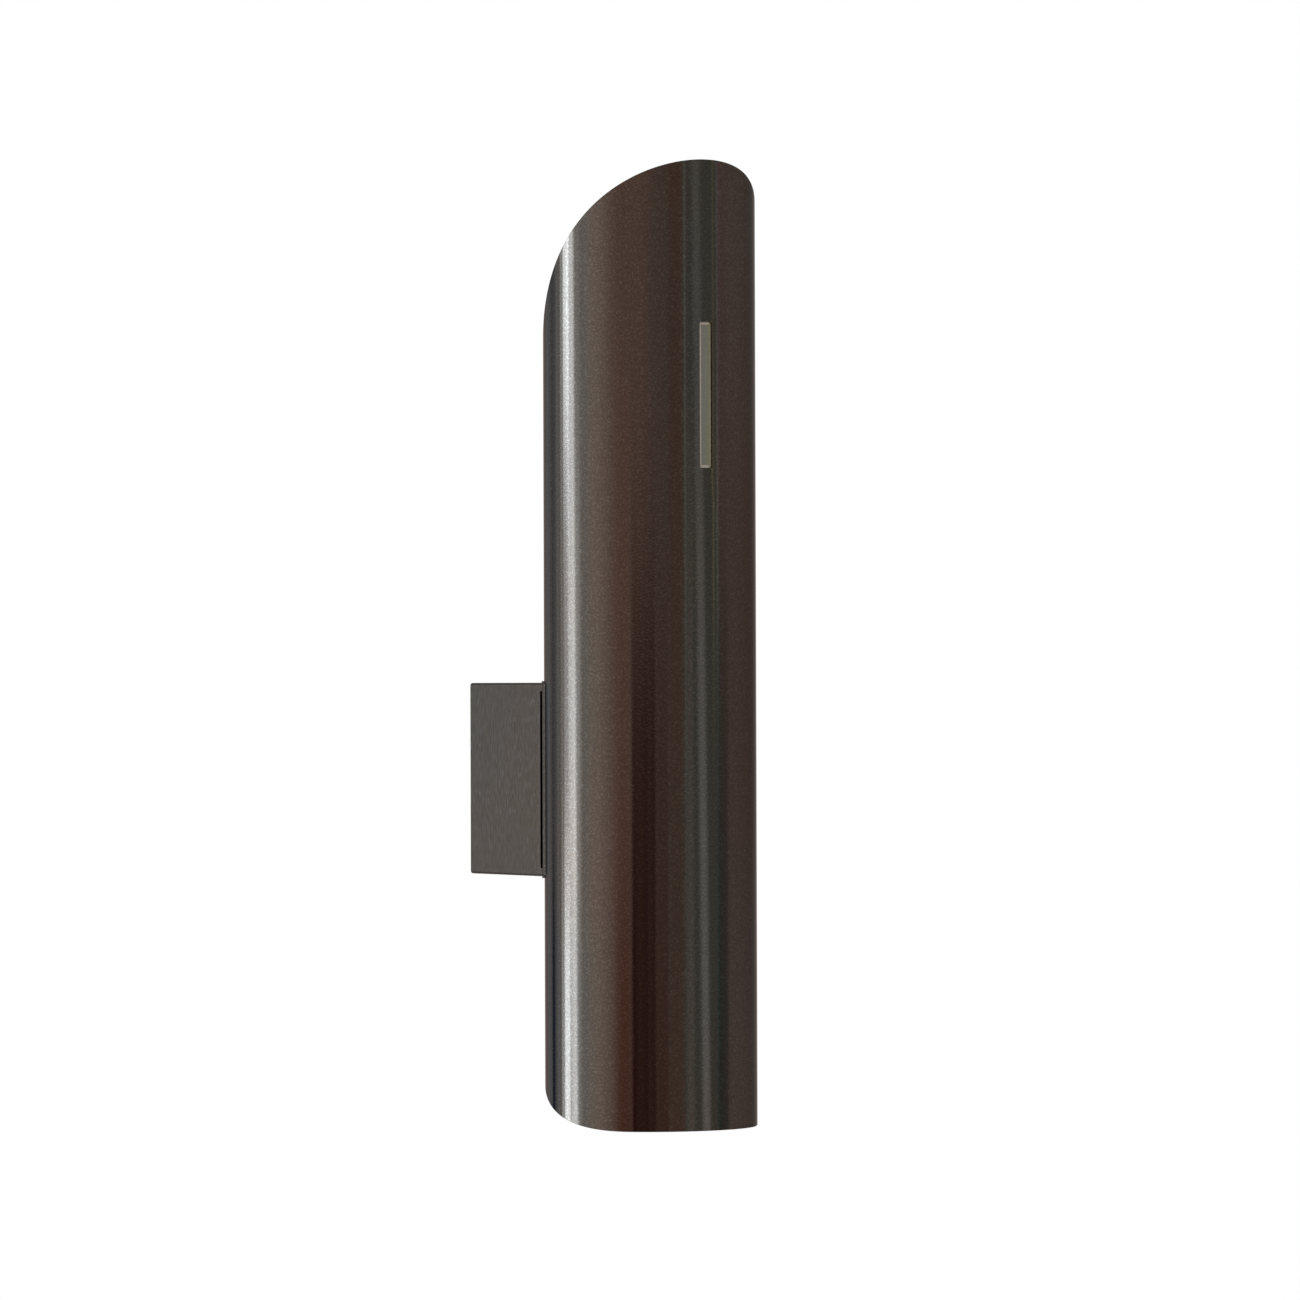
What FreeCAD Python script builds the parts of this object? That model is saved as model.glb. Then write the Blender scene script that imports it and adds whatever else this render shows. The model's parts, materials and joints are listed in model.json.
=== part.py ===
import FreeCAD, Part
import math
import os
import Sketcher
from FreeCAD import Rotation, Vector

# Tube wall light. The origin is the middle of the box's back, on the wall. +Z is up and the wall is the
# plane y = 0, so the light reaches towards -Y. "Reach" is a distance from the wall, "rise" a height
# above the middle of the box.

# Driving dimensions, in millimetres and degrees
SIZES = {
    # tube
    "tube_radius": 44.45,
    "tube_wall": 2.0,
    "tube_reach": 80.0,
    "tube_rise": 257.0,
    "tube_drop": 145.0,
    "top_cut_angle": 33.2,
    "top_cut_radius": 209.0,
    "top_cut_depth": 68.0,
    "bottom_flat_depth": 11.5,
    "bottom_cut_radius": 101.3,
    # slot, its insert and what holds the insert
    "slot_width": 6.0,
    "slot_height": 60.6,
    "slot_rise": 129.2,
    "slot_corner": 0.8,
    "insert_recess": 0.8,
    "insert_lip": 3.0,
    "insert_lip_depth": 2.0,
    "retainer_width": 16.0,
    "retainer_sheet": 1.0,
    "window_margin": 1.0,
    "stud_offset": 8.0,
    "stud_radius": 1.5,
    "stud_length": 8.0,
    "stud_collar_radius": 2.5,
    "stud_nut_flats": 5.5,
    "stud_nut_height": 2.4,
    # box, saddle and bridge
    "box_inset": 3.95,
    "box_wall": 2.0,
    "box_corner": 1.2,
    "box_chamfer": 0.5,
    "box_relief": 0.7,
    "relief_margin": 3.5,
    "saddle_margin": 0.75,
    "saddle_sheet": 1.0,
    "saddle_corner": 2.0,
    "bridge_sheet": 2.0,
    "bridge_return": 9.0,
    "bridge_bend": 1.8,
    # wall plate and its screws
    "plate_sheet": 2.0,
    "plate_corner": 4.0,
    "tab_width": 30.0,
    "tab_reach": 16.0,
    "tab_bend": 1.5,
    "box_screw_reach": 9.0,
    "box_screw_radius": 2.0,
    "box_screw_head": 3.8,
    "box_screw_length": 8.0,
    "box_screw_drive": 2.5,
    "box_screw_drive_depth": 1.6,
    "wall_slot_inset": 10.5,
    "wall_slot_length": 10.0,
    "wall_slot_width": 5.0,
    # cable entry
    "entry_radius": 8.0,
    "entry_bore": 4.0,
    "entry_flange_radius": 10.5,
    "entry_flange": 1.8,
    "entry_chamfer": 0.6,
    "bush_radius": 5.8,
    "bush_bore": 3.5,
    "bush_flange_radius": 8.0,
    "bush_flange": 1.5,
    "bush_overhang": 2.0,
    # clamp screws between box and tube
    "clamp_pitch": 36.0,
    "clamp_screw_radius": 2.5,
    "clamp_head_radius": 4.75,
    "clamp_head": 3.7,
    "clamp_screw_length": 20.0,
    "washer_radius": 5.0,
    "washer_sheet": 1.0,
    "clamp_nut_flats": 8.0,
    "clamp_nut_height": 4.0,
    "block_depth": 6.5,
    "block_width": 36.0,
    "block_height": 50.0,
    # lamp carrier
    "carrier_sheet": 1.5,
    "carrier_width": 36.0,
    "carrier_bend": 1.5,
    "carrier_arm": 16.0,
    "carrier_tongue": 12.0,
    "wire_hole_radius": 4.0,
    # terminal block
    "terminal_gap": 1.0,
    "terminal_pitch": 10.0,
    "terminal_tower": 7.2,
    "terminal_reach": 13.0,
    "terminal_step": 3.0,
    "terminal_bar": 4.8,
    "terminal_bar_reach": 5.0,
    "terminal_bar_margin": 2.0,
    "terminal_wire": 1.7,
    "terminal_screw_radius": 1.5,
    "terminal_screw_margin": 4.5,
    "terminal_screw_length": 5.0,
    "terminal_fixing_radius": 1.25,
    "terminal_fixing_head": 2.0,
    "terminal_fixing_head_height": 1.8,
    # earth screw
    "earth_inset": 13.5,
    "earth_screw_radius": 2.0,
    "earth_head_radius": 4.0,
    "earth_head": 2.8,
    "earth_washer_radius": 5.0,
    "earth_washer": 1.0,
    # lampholders
    "holder_radius": 15.0,
    "holder_height": 16.0,
    "holder_edge": 1.5,
    "holder_cap": 2.6,
    "holder_well": 8.5,
    "holder_screw_offset": 10.5,
    "holder_screw_radius": 1.5,
    "holder_screw_head": 2.75,
    "holder_screw_head_height": 2.0,
    "holder_screw_length": 7.0,
    # lamps
    "lamp_radius": 25.0,
    "lamp_length": 54.0,
    "lamp_rim": 5.0,
    "lamp_base_radius": 10.0,
    "lamp_base_length": 13.0,
    "lamp_base_flange": 14.0,
    "lamp_base_chamfer": 1.0,
    "lamp_base_flare": 2.0,
    "lamp_neck_radius": 15.5,
    "lamp_neck_length": 2.0,
    "lamp_fin_count": 12,
    "lamp_fin_sheet": 2.0,
    "lamp_fin_root": 13.5,
    "lamp_fin_top": 41.0,
    "lamp_skirt": 2.5,
    "lamp_step": 1.0,
    "lens_radius": 22.5,
    "lens_set_back": 1.5,
    "lens_chamfer": 1.0,
    "ring_chamfer": 1.2,
    "upper_lamp_rise": 117.0,
    "lower_lamp_drop": 100.0,
    "pin_spacing": 10.0,
    "pin_neck_radius": 1.5,
    "pin_head_radius": 2.5,
    "pin_head": 2.6,
    "twist_angle": 22.0,
    # clearances
    "running_gap": 0.3,
    "fit_gap": 0.1,
    "hole_gap": 0.25,
}


class Size:
    """A size of the sheet, or one worked out from such sizes: its formula and its present value."""

    def __init__(self, formula, value):
        self.formula = formula
        self.value = value

    def joined(self, other, sign, value):
        return Size(f"({self.formula} {sign} {as_size(other).formula})", value)

    def __add__(self, other):
        return self.joined(other, "+", self.value + as_size(other).value)

    def __radd__(self, other):
        return as_size(other) + self

    def __sub__(self, other):
        return self.joined(other, "-", self.value - as_size(other).value)

    def __rsub__(self, other):
        return as_size(other) - self

    def __mul__(self, other):
        return self.joined(other, "*", self.value * as_size(other).value)

    def __rmul__(self, other):
        return as_size(other) * self

    def __truediv__(self, other):
        return self.joined(other, "/", self.value / as_size(other).value)

    def __neg__(self):
        return self * -1


def as_size(number):
    return number if isinstance(number, Size) else Size(repr(number), number)


def root(size):
    return Size(f"sqrt({size.formula})", math.sqrt(size.value))


def sine(angle):
    return Size(f"sin({angle.formula} * 1 deg)", math.sin(math.radians(angle.value)))


def cosine(angle):
    return Size(f"cos({angle.formula} * 1 deg)", math.cos(math.radians(angle.value)))


def far_side(radius, across):
    """How far out a circle of that radius lies at a distance across from its middle line."""
    return root(radius * radius - across * across)


class SizeSheet:
    """The document's sheet of driving dimensions; each one is read as an attribute."""

    def __init__(self, sizes):
        self.sheet = doc.addObject("Spreadsheet::Sheet", "sizes")
        for row, (name, value) in enumerate(sizes.items(), start=1):
            self.sheet.set(f"A{row}", name)
            self.sheet.set(f"B{row}", str(value))
            self.sheet.setAlias(f"B{row}", name)
        doc.recompute()

    def __getattr__(self, name):
        return Size(f"sizes.{name}", self.sheet.get(name))


doc = FreeCAD.newDocument("tube_wall_light")
s = SizeSheet(SIZES)
sub_parts = []


# Working with bodies, sketches and features


def bind(item, place, size):
    item.setExpression(place, as_size(size).formula)


def new_body(label):
    body = doc.addObject("PartDesign::Body", label)
    body.Label = label
    sub_parts.append(body)
    return body


def origin_feature(body, role):
    return next(item for item in body.Origin.OriginFeatures if item.Role == role)


def place(item, x=0, y=0, z=0):
    bind(item, "Placement.Base.x", x)
    bind(item, "Placement.Base.y", y)
    bind(item, "Placement.Base.z", z)


def new_sketch(body, plane, away=0):
    """A sketch on the body's own XY, XZ or YZ plane, moved away from it along the plane's normal.

    The normal of XY is +Z, of YZ is +X, and of XZ is -Y, so XZ sketches move away from the wall."""
    sketch = body.newObject("Sketcher::SketchObject", f"{body.Label}_sketch")
    sketch.AttachmentSupport = [(origin_feature(body, f"{plane}_Plane"), "")]
    sketch.MapMode = "FlatFace"
    bind(sketch, "AttachmentOffset.Base.z", away)
    return sketch


def hold(sketch, kind, *where_and_size):
    """Adds a constraint whose last value is a size and binds it to that size's formula."""
    *where, size = where_and_size
    index = sketch.addConstraint(Sketcher.Constraint(kind, *where, size.value))
    bind(sketch, f"Constraints[{index}]", size)


def hold_point(sketch, geometry, point, across, up):
    hold(sketch, "DistanceX", -1, 1, geometry, point, as_size(across))
    hold(sketch, "DistanceY", -1, 1, geometry, point, as_size(up))


def add_circle(sketch, across, up, radius):
    middle = Vector(as_size(across).value, as_size(up).value, 0)
    circle = sketch.addGeometry(Part.Circle(middle, Vector(0, 0, 1), radius.value), False)
    hold_point(sketch, circle, 3, across, up)
    hold(sketch, "Radius", circle, radius)


def arc_between(start, end, radius):
    """The short arc of that radius; it turns left from start to end."""
    middle = (start + end) / 2
    along = end - start
    height = math.sqrt(max(radius**2 - (along.Length / 2) ** 2, 0))
    centre = middle + Vector(-along.y, along.x, 0).normalize() * height
    first = math.atan2(start.y - centre.y, start.x - centre.x)
    last = math.atan2(end.y - centre.y, end.x - centre.x)
    return Part.ArcOfCircle(Part.Circle(centre, Vector(0, 0, 1), radius), first, last)


def add_outline(sketch, corners):
    """A closed outline. A corner is (across, up), or (across, up, radius) where an arc leads to the
    next corner: a positive radius turns left on the way there, a negative one right."""
    points = [Vector(as_size(corner[0]).value, as_size(corner[1]).value, 0) for corner in corners]
    pieces = []
    for index, corner in enumerate(corners):
        start = points[index]
        end = points[(index + 1) % len(points)]
        radius = corner[2] if len(corner) > 2 else None
        if radius is None:
            geometry = sketch.addGeometry(Part.LineSegment(start, end), False)
            pieces.append((geometry, 1, 2))
            continue
        if radius.value > 0:
            geometry = sketch.addGeometry(arc_between(start, end, radius.value), False)
            pieces.append((geometry, 1, 2))
        else:
            geometry = sketch.addGeometry(arc_between(end, start, -radius.value), False)
            pieces.append((geometry, 2, 1))
    for index, (geometry, first, last) in enumerate(pieces):
        following, following_first, _ = pieces[(index + 1) % len(pieces)]
        sketch.addConstraint(Sketcher.Constraint("Coincident", geometry, last, following, following_first))
        hold_point(sketch, geometry, first, corners[index][0], corners[index][1])
        if len(corners[index]) > 2:
            radius = corners[index][2]
            hold(sketch, "Radius", geometry, radius if radius.value > 0 else -radius)


def add_rectangle(sketch, left, bottom, right, top, corner=None):
    if corner is None:
        add_outline(sketch, [(left, bottom), (right, bottom), (right, top), (left, top)])
        return
    add_outline(sketch, [
        (left + corner, bottom), (right - corner, bottom, corner),
        (right, bottom + corner), (right, top - corner, corner),
        (right - corner, top), (left + corner, top, corner),
        (left, top - corner), (left, bottom + corner, corner),
    ])


def add_slot_outline(sketch, across, up, length, width):
    """A round-ended slot that runs across."""
    end = (length - width) / 2
    half = width / 2
    add_outline(sketch, [
        (across - end, up - half), (across + end, up - half, half),
        (across + end + half, up, half), (across + end, up + half),
        (across - end, up + half, half), (across - end - half, up, half),
    ])


def add_hexagon(sketch, across, up, flats):
    side = flats / math.sqrt(3)
    half = flats / 2
    add_outline(sketch, [
        (across - side, up), (across - side / 2, up - half), (across + side / 2, up - half),
        (across + side, up), (across + side / 2, up + half), (across - side / 2, up + half),
    ])


def add_pad(body, sketch, length, both_ways=False, reverse=False):
    pad = body.newObject("PartDesign::Pad", f"{body.Label}_pad")
    pad.Profile = sketch
    bind(pad, "Length", length)
    pad.SideType = "Symmetric" if both_ways else "One side"
    pad.Reversed = reverse
    return pad


def add_pocket(body, sketch, length=None, both_ways=False, reverse=False):
    """A pocket against the sketch's normal, or along it if reverse; without a length it goes through."""
    pocket = body.newObject("PartDesign::Pocket", f"{body.Label}_pocket")
    pocket.Profile = sketch
    if length is None:
        pocket.Type = "ThroughAll"
    else:
        bind(pocket, "Length", length)
    pocket.SideType = "Symmetric" if both_ways else "One side"
    pocket.Reversed = reverse
    return pocket


def add_turning(body, kind, sketch, axis):
    """A Revolution or Groove about the sketch's own H_Axis or V_Axis."""
    turning = body.newObject(f"PartDesign::{kind}", f"{body.Label}_{kind.lower()}")
    turning.Profile = sketch
    turning.ReferenceAxis = (sketch, [axis])
    return turning


def add_mirror(body, features, plane):
    mirror = body.newObject("PartDesign::Mirrored", f"{body.Label}_mirror")
    mirror.Originals = features
    mirror.MirrorPlane = (origin_feature(body, f"{plane}_Plane"), [""])
    body.Tip = mirror
    return mirror


def add_ring(body, features, count):
    ring = body.newObject("PartDesign::PolarPattern", f"{body.Label}_ring")
    ring.Originals = features
    ring.Axis = (origin_feature(body, "Z_Axis"), [""])
    ring.Angle = 360
    bind(ring, "Occurrences", count)
    body.Tip = ring
    return ring


def add_edge_finish(body, kind, size, wanted):
    """A Fillet or Chamfer on each edge that the test wants; the test reads the body's own frame."""
    doc.recompute()
    base = body.Tip
    names = [f"Edge{i}" for i, edge in enumerate(base.Shape.Edges, start=1) if wanted(edge)]
    if not names:
        raise RuntimeError(f"{body.Label}: no edge to finish")
    finish = body.newObject(f"PartDesign::{kind}", f"{body.Label}_{kind.lower()}")
    finish.Base = (base, names)
    bind(finish, "Radius" if kind == "Fillet" else "Size", size)
    return finish


def near(first, second):
    return abs(first - second) < 0.001


def runs_along(edge, axis):
    """True for a straight edge parallel to the x, y or z axis."""
    if edge.Curve.TypeId != "Part::GeomLine":
        return False
    return near(abs(getattr(edge.Curve.Direction, axis)), 1)


# Places that several sub-parts share

tube_inner = s.tube_radius - s.tube_wall
box_half = s.tube_radius - s.box_inset
box_inside = box_half - s.box_wall
wall_slot_side = box_half - s.wall_slot_inset
earth_side = box_half - s.earth_inset
terminal_length = box_half - s.box_screw_length - s.entry_flange_radius - 2 * s.terminal_gap
terminal_rise = -(s.entry_flange_radius + s.terminal_gap + terminal_length / 2)
terminal_bar_reach = s.plate_sheet + s.terminal_bar_reach
bridge_reach = s.tube_reach - s.tube_radius - s.saddle_sheet
bridge_back = bridge_reach - s.bridge_sheet
block_reach = s.tube_reach - tube_inner + s.block_depth
carrier_reach = block_reach + s.carrier_sheet
clamp_hole = s.clamp_screw_radius + s.hole_gap
bush_hole = s.bush_radius + s.hole_gap
clamp_rise = s.clamp_pitch / 2
slot_middle = s.slot_rise + s.slot_height / 2
stud_rise = s.slot_height / 2 + s.stud_offset
insert_back = tube_inner - s.insert_lip_depth
holder_gap = s.running_gap
upper_base = s.upper_lamp_rise - s.lamp_length
lower_base = s.lower_lamp_drop - s.lamp_length
upper_holder_face = upper_base - holder_gap
lower_holder_face = lower_base - holder_gap
upper_arm_rise = upper_holder_face - s.holder_height
lower_arm_drop = lower_holder_face - s.holder_height
pin_offset = s.pin_spacing / 2


def clamp_hole_sketch(body):
    """The two clamp screw holes and the cable bush's hole, for whatever stands on that line."""
    sketch = new_sketch(body, "XZ")
    for up in (clamp_rise, -clamp_rise):
        add_circle(sketch, 0, up, clamp_hole)
    add_circle(sketch, 0, 0, bush_hole)
    return sketch


# Tube


def make_tube_shell():
    """A round tube, cut on a curve at its top and swept up at its bottom, with the slot in front."""
    body = new_body("tube_shell")
    place(body, y=-s.tube_reach)
    ring = new_sketch(body, "XY", -s.tube_drop)
    add_circle(ring, 0, 0, s.tube_radius)
    add_circle(ring, 0, 0, tube_inner)
    add_pad(body, ring, s.tube_rise + s.tube_drop)
    add_pocket(body, top_cut_sketch(body), both_ways=True)
    add_pocket(body, bottom_cut_sketch(body), both_ways=True)
    slot = new_sketch(body, "XZ")
    half = s.slot_width / 2
    add_rectangle(slot, -half, s.slot_rise, half, s.slot_rise + s.slot_height, s.slot_corner)
    add_pocket(body, slot, reverse=True)
    add_pocket(body, clamp_hole_sketch(body))
    return body


def top_cut_sketch(body):
    """Side view: from the front's top the edge falls along an arc, then straight on to the back."""
    sketch = new_sketch(body, "YZ")
    spare = s.tube_wall
    end_sine = sine(s.top_cut_angle) + s.top_cut_depth / s.top_cut_radius
    end_cosine = root(1 - end_sine * end_sine)
    arc_rise = s.tube_rise - s.top_cut_radius * (cosine(s.top_cut_angle) - end_cosine)
    rest = 2 * s.tube_radius + spare - s.top_cut_depth
    back = s.tube_radius + spare
    front = -s.tube_radius - spare
    add_outline(sketch, [
        (-s.tube_radius + s.top_cut_depth, arc_rise, s.top_cut_radius),
        (-s.tube_radius, s.tube_rise),
        (front, s.tube_rise),
        (front, s.tube_rise + spare),
        (back, s.tube_rise + spare),
        (back, arc_rise - rest * end_sine / end_cosine),
    ])
    return sketch


def bottom_cut_sketch(body):
    """Side view: flat under the front, then an arc that sweeps up towards the wall."""
    sketch = new_sketch(body, "YZ")
    spare = s.tube_wall
    start = -s.tube_radius + s.bottom_flat_depth
    back = s.tube_radius + spare
    lift = s.bottom_cut_radius - far_side(s.bottom_cut_radius, back - start)
    add_outline(sketch, [
        (start, -s.tube_drop, s.bottom_cut_radius),
        (back, lift - s.tube_drop),
        (back, -s.tube_drop - spare),
        (start, -s.tube_drop - spare),
    ])
    return sketch


# Slot insert and its holder


def insert_plan(body, half_width, front_radius, back, bottom):
    """Plan view of a strip whose front follows the tube and whose back is flat."""
    sketch = new_sketch(body, "XY", bottom)
    front = far_side(front_radius, half_width)
    add_outline(sketch, [
        (-half_width, -back), (-half_width, -front, front_radius),
        (half_width, -front), (half_width, -back),
    ])
    return sketch


def make_slot_diffuser():
    """The frosted strip: a lip behind the tube wall and a nose that stands in the slot."""
    body = new_body("slot_diffuser")
    place(body, y=-s.tube_reach)
    lip = insert_plan(body, s.slot_width / 2 + s.insert_lip, tube_inner - s.fit_gap, insert_back,
                      s.slot_rise - s.insert_lip)
    add_pad(body, lip, s.slot_height + 2 * s.insert_lip)
    nose = insert_plan(body, s.slot_width / 2 - s.fit_gap, s.tube_radius - s.insert_recess, insert_back,
                       s.slot_rise + s.fit_gap)
    add_pad(body, nose, s.slot_height - 2 * s.fit_gap)
    nose_half = s.slot_width.value / 2 - s.fit_gap.value
    lowest = s.slot_rise.value + s.fit_gap.value
    highest = s.slot_rise.value + s.slot_height.value - s.fit_gap.value

    def is_nose_corner(edge):
        middle = edge.CenterOfMass
        at_end = near(middle.z, lowest) or near(middle.z, highest)
        return runs_along(edge, "y") and near(abs(middle.x), nose_half) and at_end

    add_edge_finish(body, "Fillet", s.slot_corner - s.fit_gap, is_nose_corner)
    return body


def make_diffuser_retainer():
    """A flat spring plate with a window, pressed on the insert's back by two nuts."""
    body = new_body("diffuser_retainer")
    place(body, y=-s.tube_reach, z=slot_middle)
    sheet = new_sketch(body, "XZ", insert_back - s.retainer_sheet)
    half = s.retainer_width / 2
    reach = stud_rise + half
    add_rectangle(sheet, -half, -reach, half, reach, s.stud_collar_radius)
    window_half = s.slot_width / 2 - s.window_margin
    window_reach = s.slot_height / 2 - s.window_margin
    add_rectangle(sheet, -window_half, -window_reach, window_half, window_reach, s.slot_corner)
    for up in (stud_rise, -stud_rise):
        add_circle(sheet, 0, up, s.stud_radius + s.hole_gap)
    add_pad(body, sheet, s.retainer_sheet)
    return body


def make_retainer_studs():
    """Two threaded studs with a collar, welded inside the tube above and below the slot."""
    body = new_body("retainer_studs")
    place(body, y=-s.tube_reach, z=slot_middle)
    weld = far_side(tube_inner, s.stud_collar_radius)
    tip = weld - s.stud_length
    collar = new_sketch(body, "XZ", insert_back)
    shank = new_sketch(body, "XZ", tip)
    for up in (stud_rise, -stud_rise):
        add_circle(collar, 0, up, s.stud_collar_radius)
        add_circle(shank, 0, up, s.stud_radius)
    add_pad(body, collar, weld - insert_back)
    add_pad(body, shank, weld - tip)
    return body


def make_retainer_nuts():
    body = new_body("retainer_nuts")
    place(body, y=-s.tube_reach, z=slot_middle)
    nuts = new_sketch(body, "XZ", insert_back - s.retainer_sheet - s.stud_nut_height)
    for up in (stud_rise, -stud_rise):
        add_hexagon(nuts, 0, up, s.stud_nut_flats)
        add_circle(nuts, 0, up, s.stud_radius + s.fit_gap / 2)
    add_pad(body, nuts, s.stud_nut_height)
    return body


# Box, saddle and bridge


def make_saddle_plate():
    """A curved square plate between box and tube."""
    body = new_body("saddle_plate")
    place(body, y=-s.tube_reach)
    half = box_half + s.saddle_margin
    plan = new_sketch(body, "XY", -half)
    outer = s.tube_radius + s.saddle_sheet
    inner = s.tube_radius + s.fit_gap
    inner_edge = far_side(inner, half)
    outer_edge = far_side(outer, half)
    add_outline(plan, [
        (-half, inner_edge, -inner), (half, inner_edge),
        (half, outer_edge, outer), (-half, outer_edge),
    ])
    add_pad(body, plan, 2 * half)
    trim = new_sketch(body, "XZ")
    spare = half + s.saddle_corner
    add_rectangle(trim, -spare, -spare, spare, spare)
    add_rectangle(trim, -half, -half, half, half, s.saddle_corner)
    add_pocket(body, trim, both_ways=True)
    add_pocket(body, clamp_hole_sketch(body))
    return body


def make_wall_box():
    """A square sleeve, coped to the saddle; its side walls stand a hair off it between the corners."""
    body = new_body("wall_box")
    sleeve = new_sketch(body, "XZ")
    add_rectangle(sleeve, -box_half, -box_half, box_half, box_half, s.box_corner)
    add_rectangle(sleeve, -box_inside, -box_inside, box_inside, box_inside)
    saddle_radius = s.tube_radius + s.saddle_sheet
    add_pad(body, sleeve, s.tube_reach - far_side(saddle_radius, box_half) + s.box_relief)
    cope = new_sketch(body, "XY")
    add_circle(cope, 0, -s.tube_reach, saddle_radius)
    add_pocket(body, cope, both_ways=True)
    relief = new_sketch(body, "XY")
    add_circle(relief, 0, -s.tube_reach, saddle_radius + s.box_relief)
    add_pocket(body, relief, 2 * (box_half - s.relief_margin), both_ways=True)
    add_box_screw_seats(body)

    def is_back_edge(edge):
        middle = edge.CenterOfMass
        outside = max(abs(middle.x), abs(middle.z)) > box_inside.value + s.box_wall.value / 2
        return near(edge.BoundBox.YLength, 0) and near(middle.y, 0) and outside

    add_edge_finish(body, "Chamfer", s.box_chamfer, is_back_edge)
    return body


def add_box_screw_seats(body):
    """Countersunk holes in the top and bottom walls."""
    holes = new_sketch(body, "XY")
    add_circle(holes, 0, -s.box_screw_reach, s.box_screw_radius + s.hole_gap)
    add_pocket(body, holes, both_ways=True)
    seat = new_sketch(body, "YZ")
    middle = -s.box_screw_reach
    head = s.box_screw_head + s.fit_gap
    add_outline(seat, [(middle, box_half), (middle, box_half - head), (middle + head, box_half)])
    axis = seat.addGeometry(Part.LineSegment(Vector(-1, 0, 0), Vector(-1, 1, 0)), True)
    hold_point(seat, axis, 1, middle, 0)
    hold_point(seat, axis, 2, middle, 1)
    groove = add_turning(body, "Groove", seat, "Axis0")
    add_mirror(body, [groove], "XY")


def make_box_bridge():
    """A bent plate welded into the box; its middle bears on the saddle and takes the clamp screws."""
    body = new_body("box_bridge")
    side = new_sketch(body, "YZ")
    half = box_inside - s.fit_gap
    inner = half - s.bridge_sheet
    tip = -(bridge_reach - s.bridge_return)
    add_outline(side, [
        (-bridge_reach, -half), (tip, -half), (tip, -inner), (-bridge_back, -inner),
        (-bridge_back, inner), (tip, inner), (tip, half), (-bridge_reach, half),
    ])
    add_pad(body, side, 2 * half, both_ways=True)
    add_pocket(body, clamp_hole_sketch(body), both_ways=True)

    def is_outer_bend(edge):
        middle = edge.CenterOfMass
        return runs_along(edge, "x") and near(middle.y, -bridge_reach.value)

    add_edge_finish(body, "Fillet", s.bridge_bend, is_outer_bend)
    return body


# Wall plate and what it carries


def make_wall_plate():
    """The plate on the wall: two slots, a cable hole, and a tab up and down for the box's screws."""
    body = new_body("wall_plate")
    half = box_inside - s.running_gap
    sheet = new_sketch(body, "XZ")
    add_rectangle(sheet, -half, -half, half, half, s.plate_corner)
    for side in (-1, 1):
        add_slot_outline(sheet, side * wall_slot_side, 0, s.wall_slot_length, s.wall_slot_width)
    add_circle(sheet, 0, 0, s.entry_radius)
    add_pad(body, sheet, s.plate_sheet)
    tabs = new_sketch(body, "XZ")
    tab_half = s.tab_width / 2
    inner = half - s.plate_sheet
    add_rectangle(tabs, -tab_half, inner, tab_half, half)
    add_rectangle(tabs, -tab_half, -half, tab_half, -inner)
    add_pad(body, tabs, s.tab_reach)
    threads = new_sketch(body, "XY")
    add_circle(threads, 0, -s.box_screw_reach, s.box_screw_radius + s.fit_gap / 2)
    add_pocket(body, threads, both_ways=True)
    fixings = new_sketch(body, "XZ")
    add_circle(fixings, 0, terminal_rise, s.terminal_fixing_radius + s.fit_gap / 2)
    add_circle(fixings, earth_side, terminal_rise, s.earth_screw_radius + s.fit_gap / 2)
    add_pocket(body, fixings, both_ways=True)

    def is_inner_bend(edge):
        middle = edge.CenterOfMass
        on_plate = near(middle.y, -s.plate_sheet.value)
        return runs_along(edge, "x") and on_plate and near(abs(middle.z), inner.value)

    add_edge_finish(body, "Fillet", s.tab_bend, is_inner_bend)
    return body


def make_box_screws():
    """Two countersunk screws, one down through the box's top and one up through its bottom."""
    body = new_body("box_screws")
    place(body, y=-s.box_screw_reach)
    profile = new_sketch(body, "YZ")
    shoulder = box_half - (s.box_screw_head - s.box_screw_radius)
    tip = box_half - s.box_screw_length
    add_outline(profile, [
        (0, tip), (s.box_screw_radius, tip), (s.box_screw_radius, shoulder),
        (s.box_screw_head, box_half), (0, box_half),
    ])
    shaft = add_turning(body, "Revolution", profile, "V_Axis")
    drive = new_sketch(body, "XY", box_half)
    add_hexagon(drive, 0, 0, s.box_screw_drive)
    socket = add_pocket(body, drive, s.box_screw_drive_depth)
    add_mirror(body, [shaft, socket], "XY")
    return body


def turned_along_y(label, outline):
    """A piece turned about the cable's line, which runs out from the wall."""
    body = new_body(label)
    profile = new_sketch(body, "YZ")
    add_outline(profile, outline)
    add_turning(body, "Revolution", profile, "H_Axis")
    return body


def make_entry_grommet():
    """Rubber grommet in the wall plate, flush with the wall side."""
    flange_back = -s.plate_sheet
    flange_front = -s.plate_sheet - s.entry_flange
    chamfer = s.entry_chamfer
    return turned_along_y("entry_grommet", [
        (0, s.entry_bore), (0, s.entry_radius), (flange_back, s.entry_radius),
        (flange_back, s.entry_flange_radius), (flange_front + chamfer, s.entry_flange_radius),
        (flange_front, s.entry_flange_radius - chamfer),
        (flange_front, s.entry_bore + chamfer), (flange_front + chamfer, s.entry_bore),
    ])


def make_cable_bush():
    """Flanged bush that lines the cable's way from the box into the tube."""
    flange_back = -(bridge_back - s.bush_flange)
    tip = -(carrier_reach + s.bush_overhang)
    lead = s.bush_radius - s.bush_bore
    return turned_along_y("cable_bush", [
        (flange_back, s.bush_bore), (flange_back, s.bush_flange_radius),
        (-bridge_back, s.bush_flange_radius), (-bridge_back, s.bush_radius),
        (tip + lead / 2, s.bush_radius), (tip, s.bush_radius - lead / 2), (tip, s.bush_bore),
    ])


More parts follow.
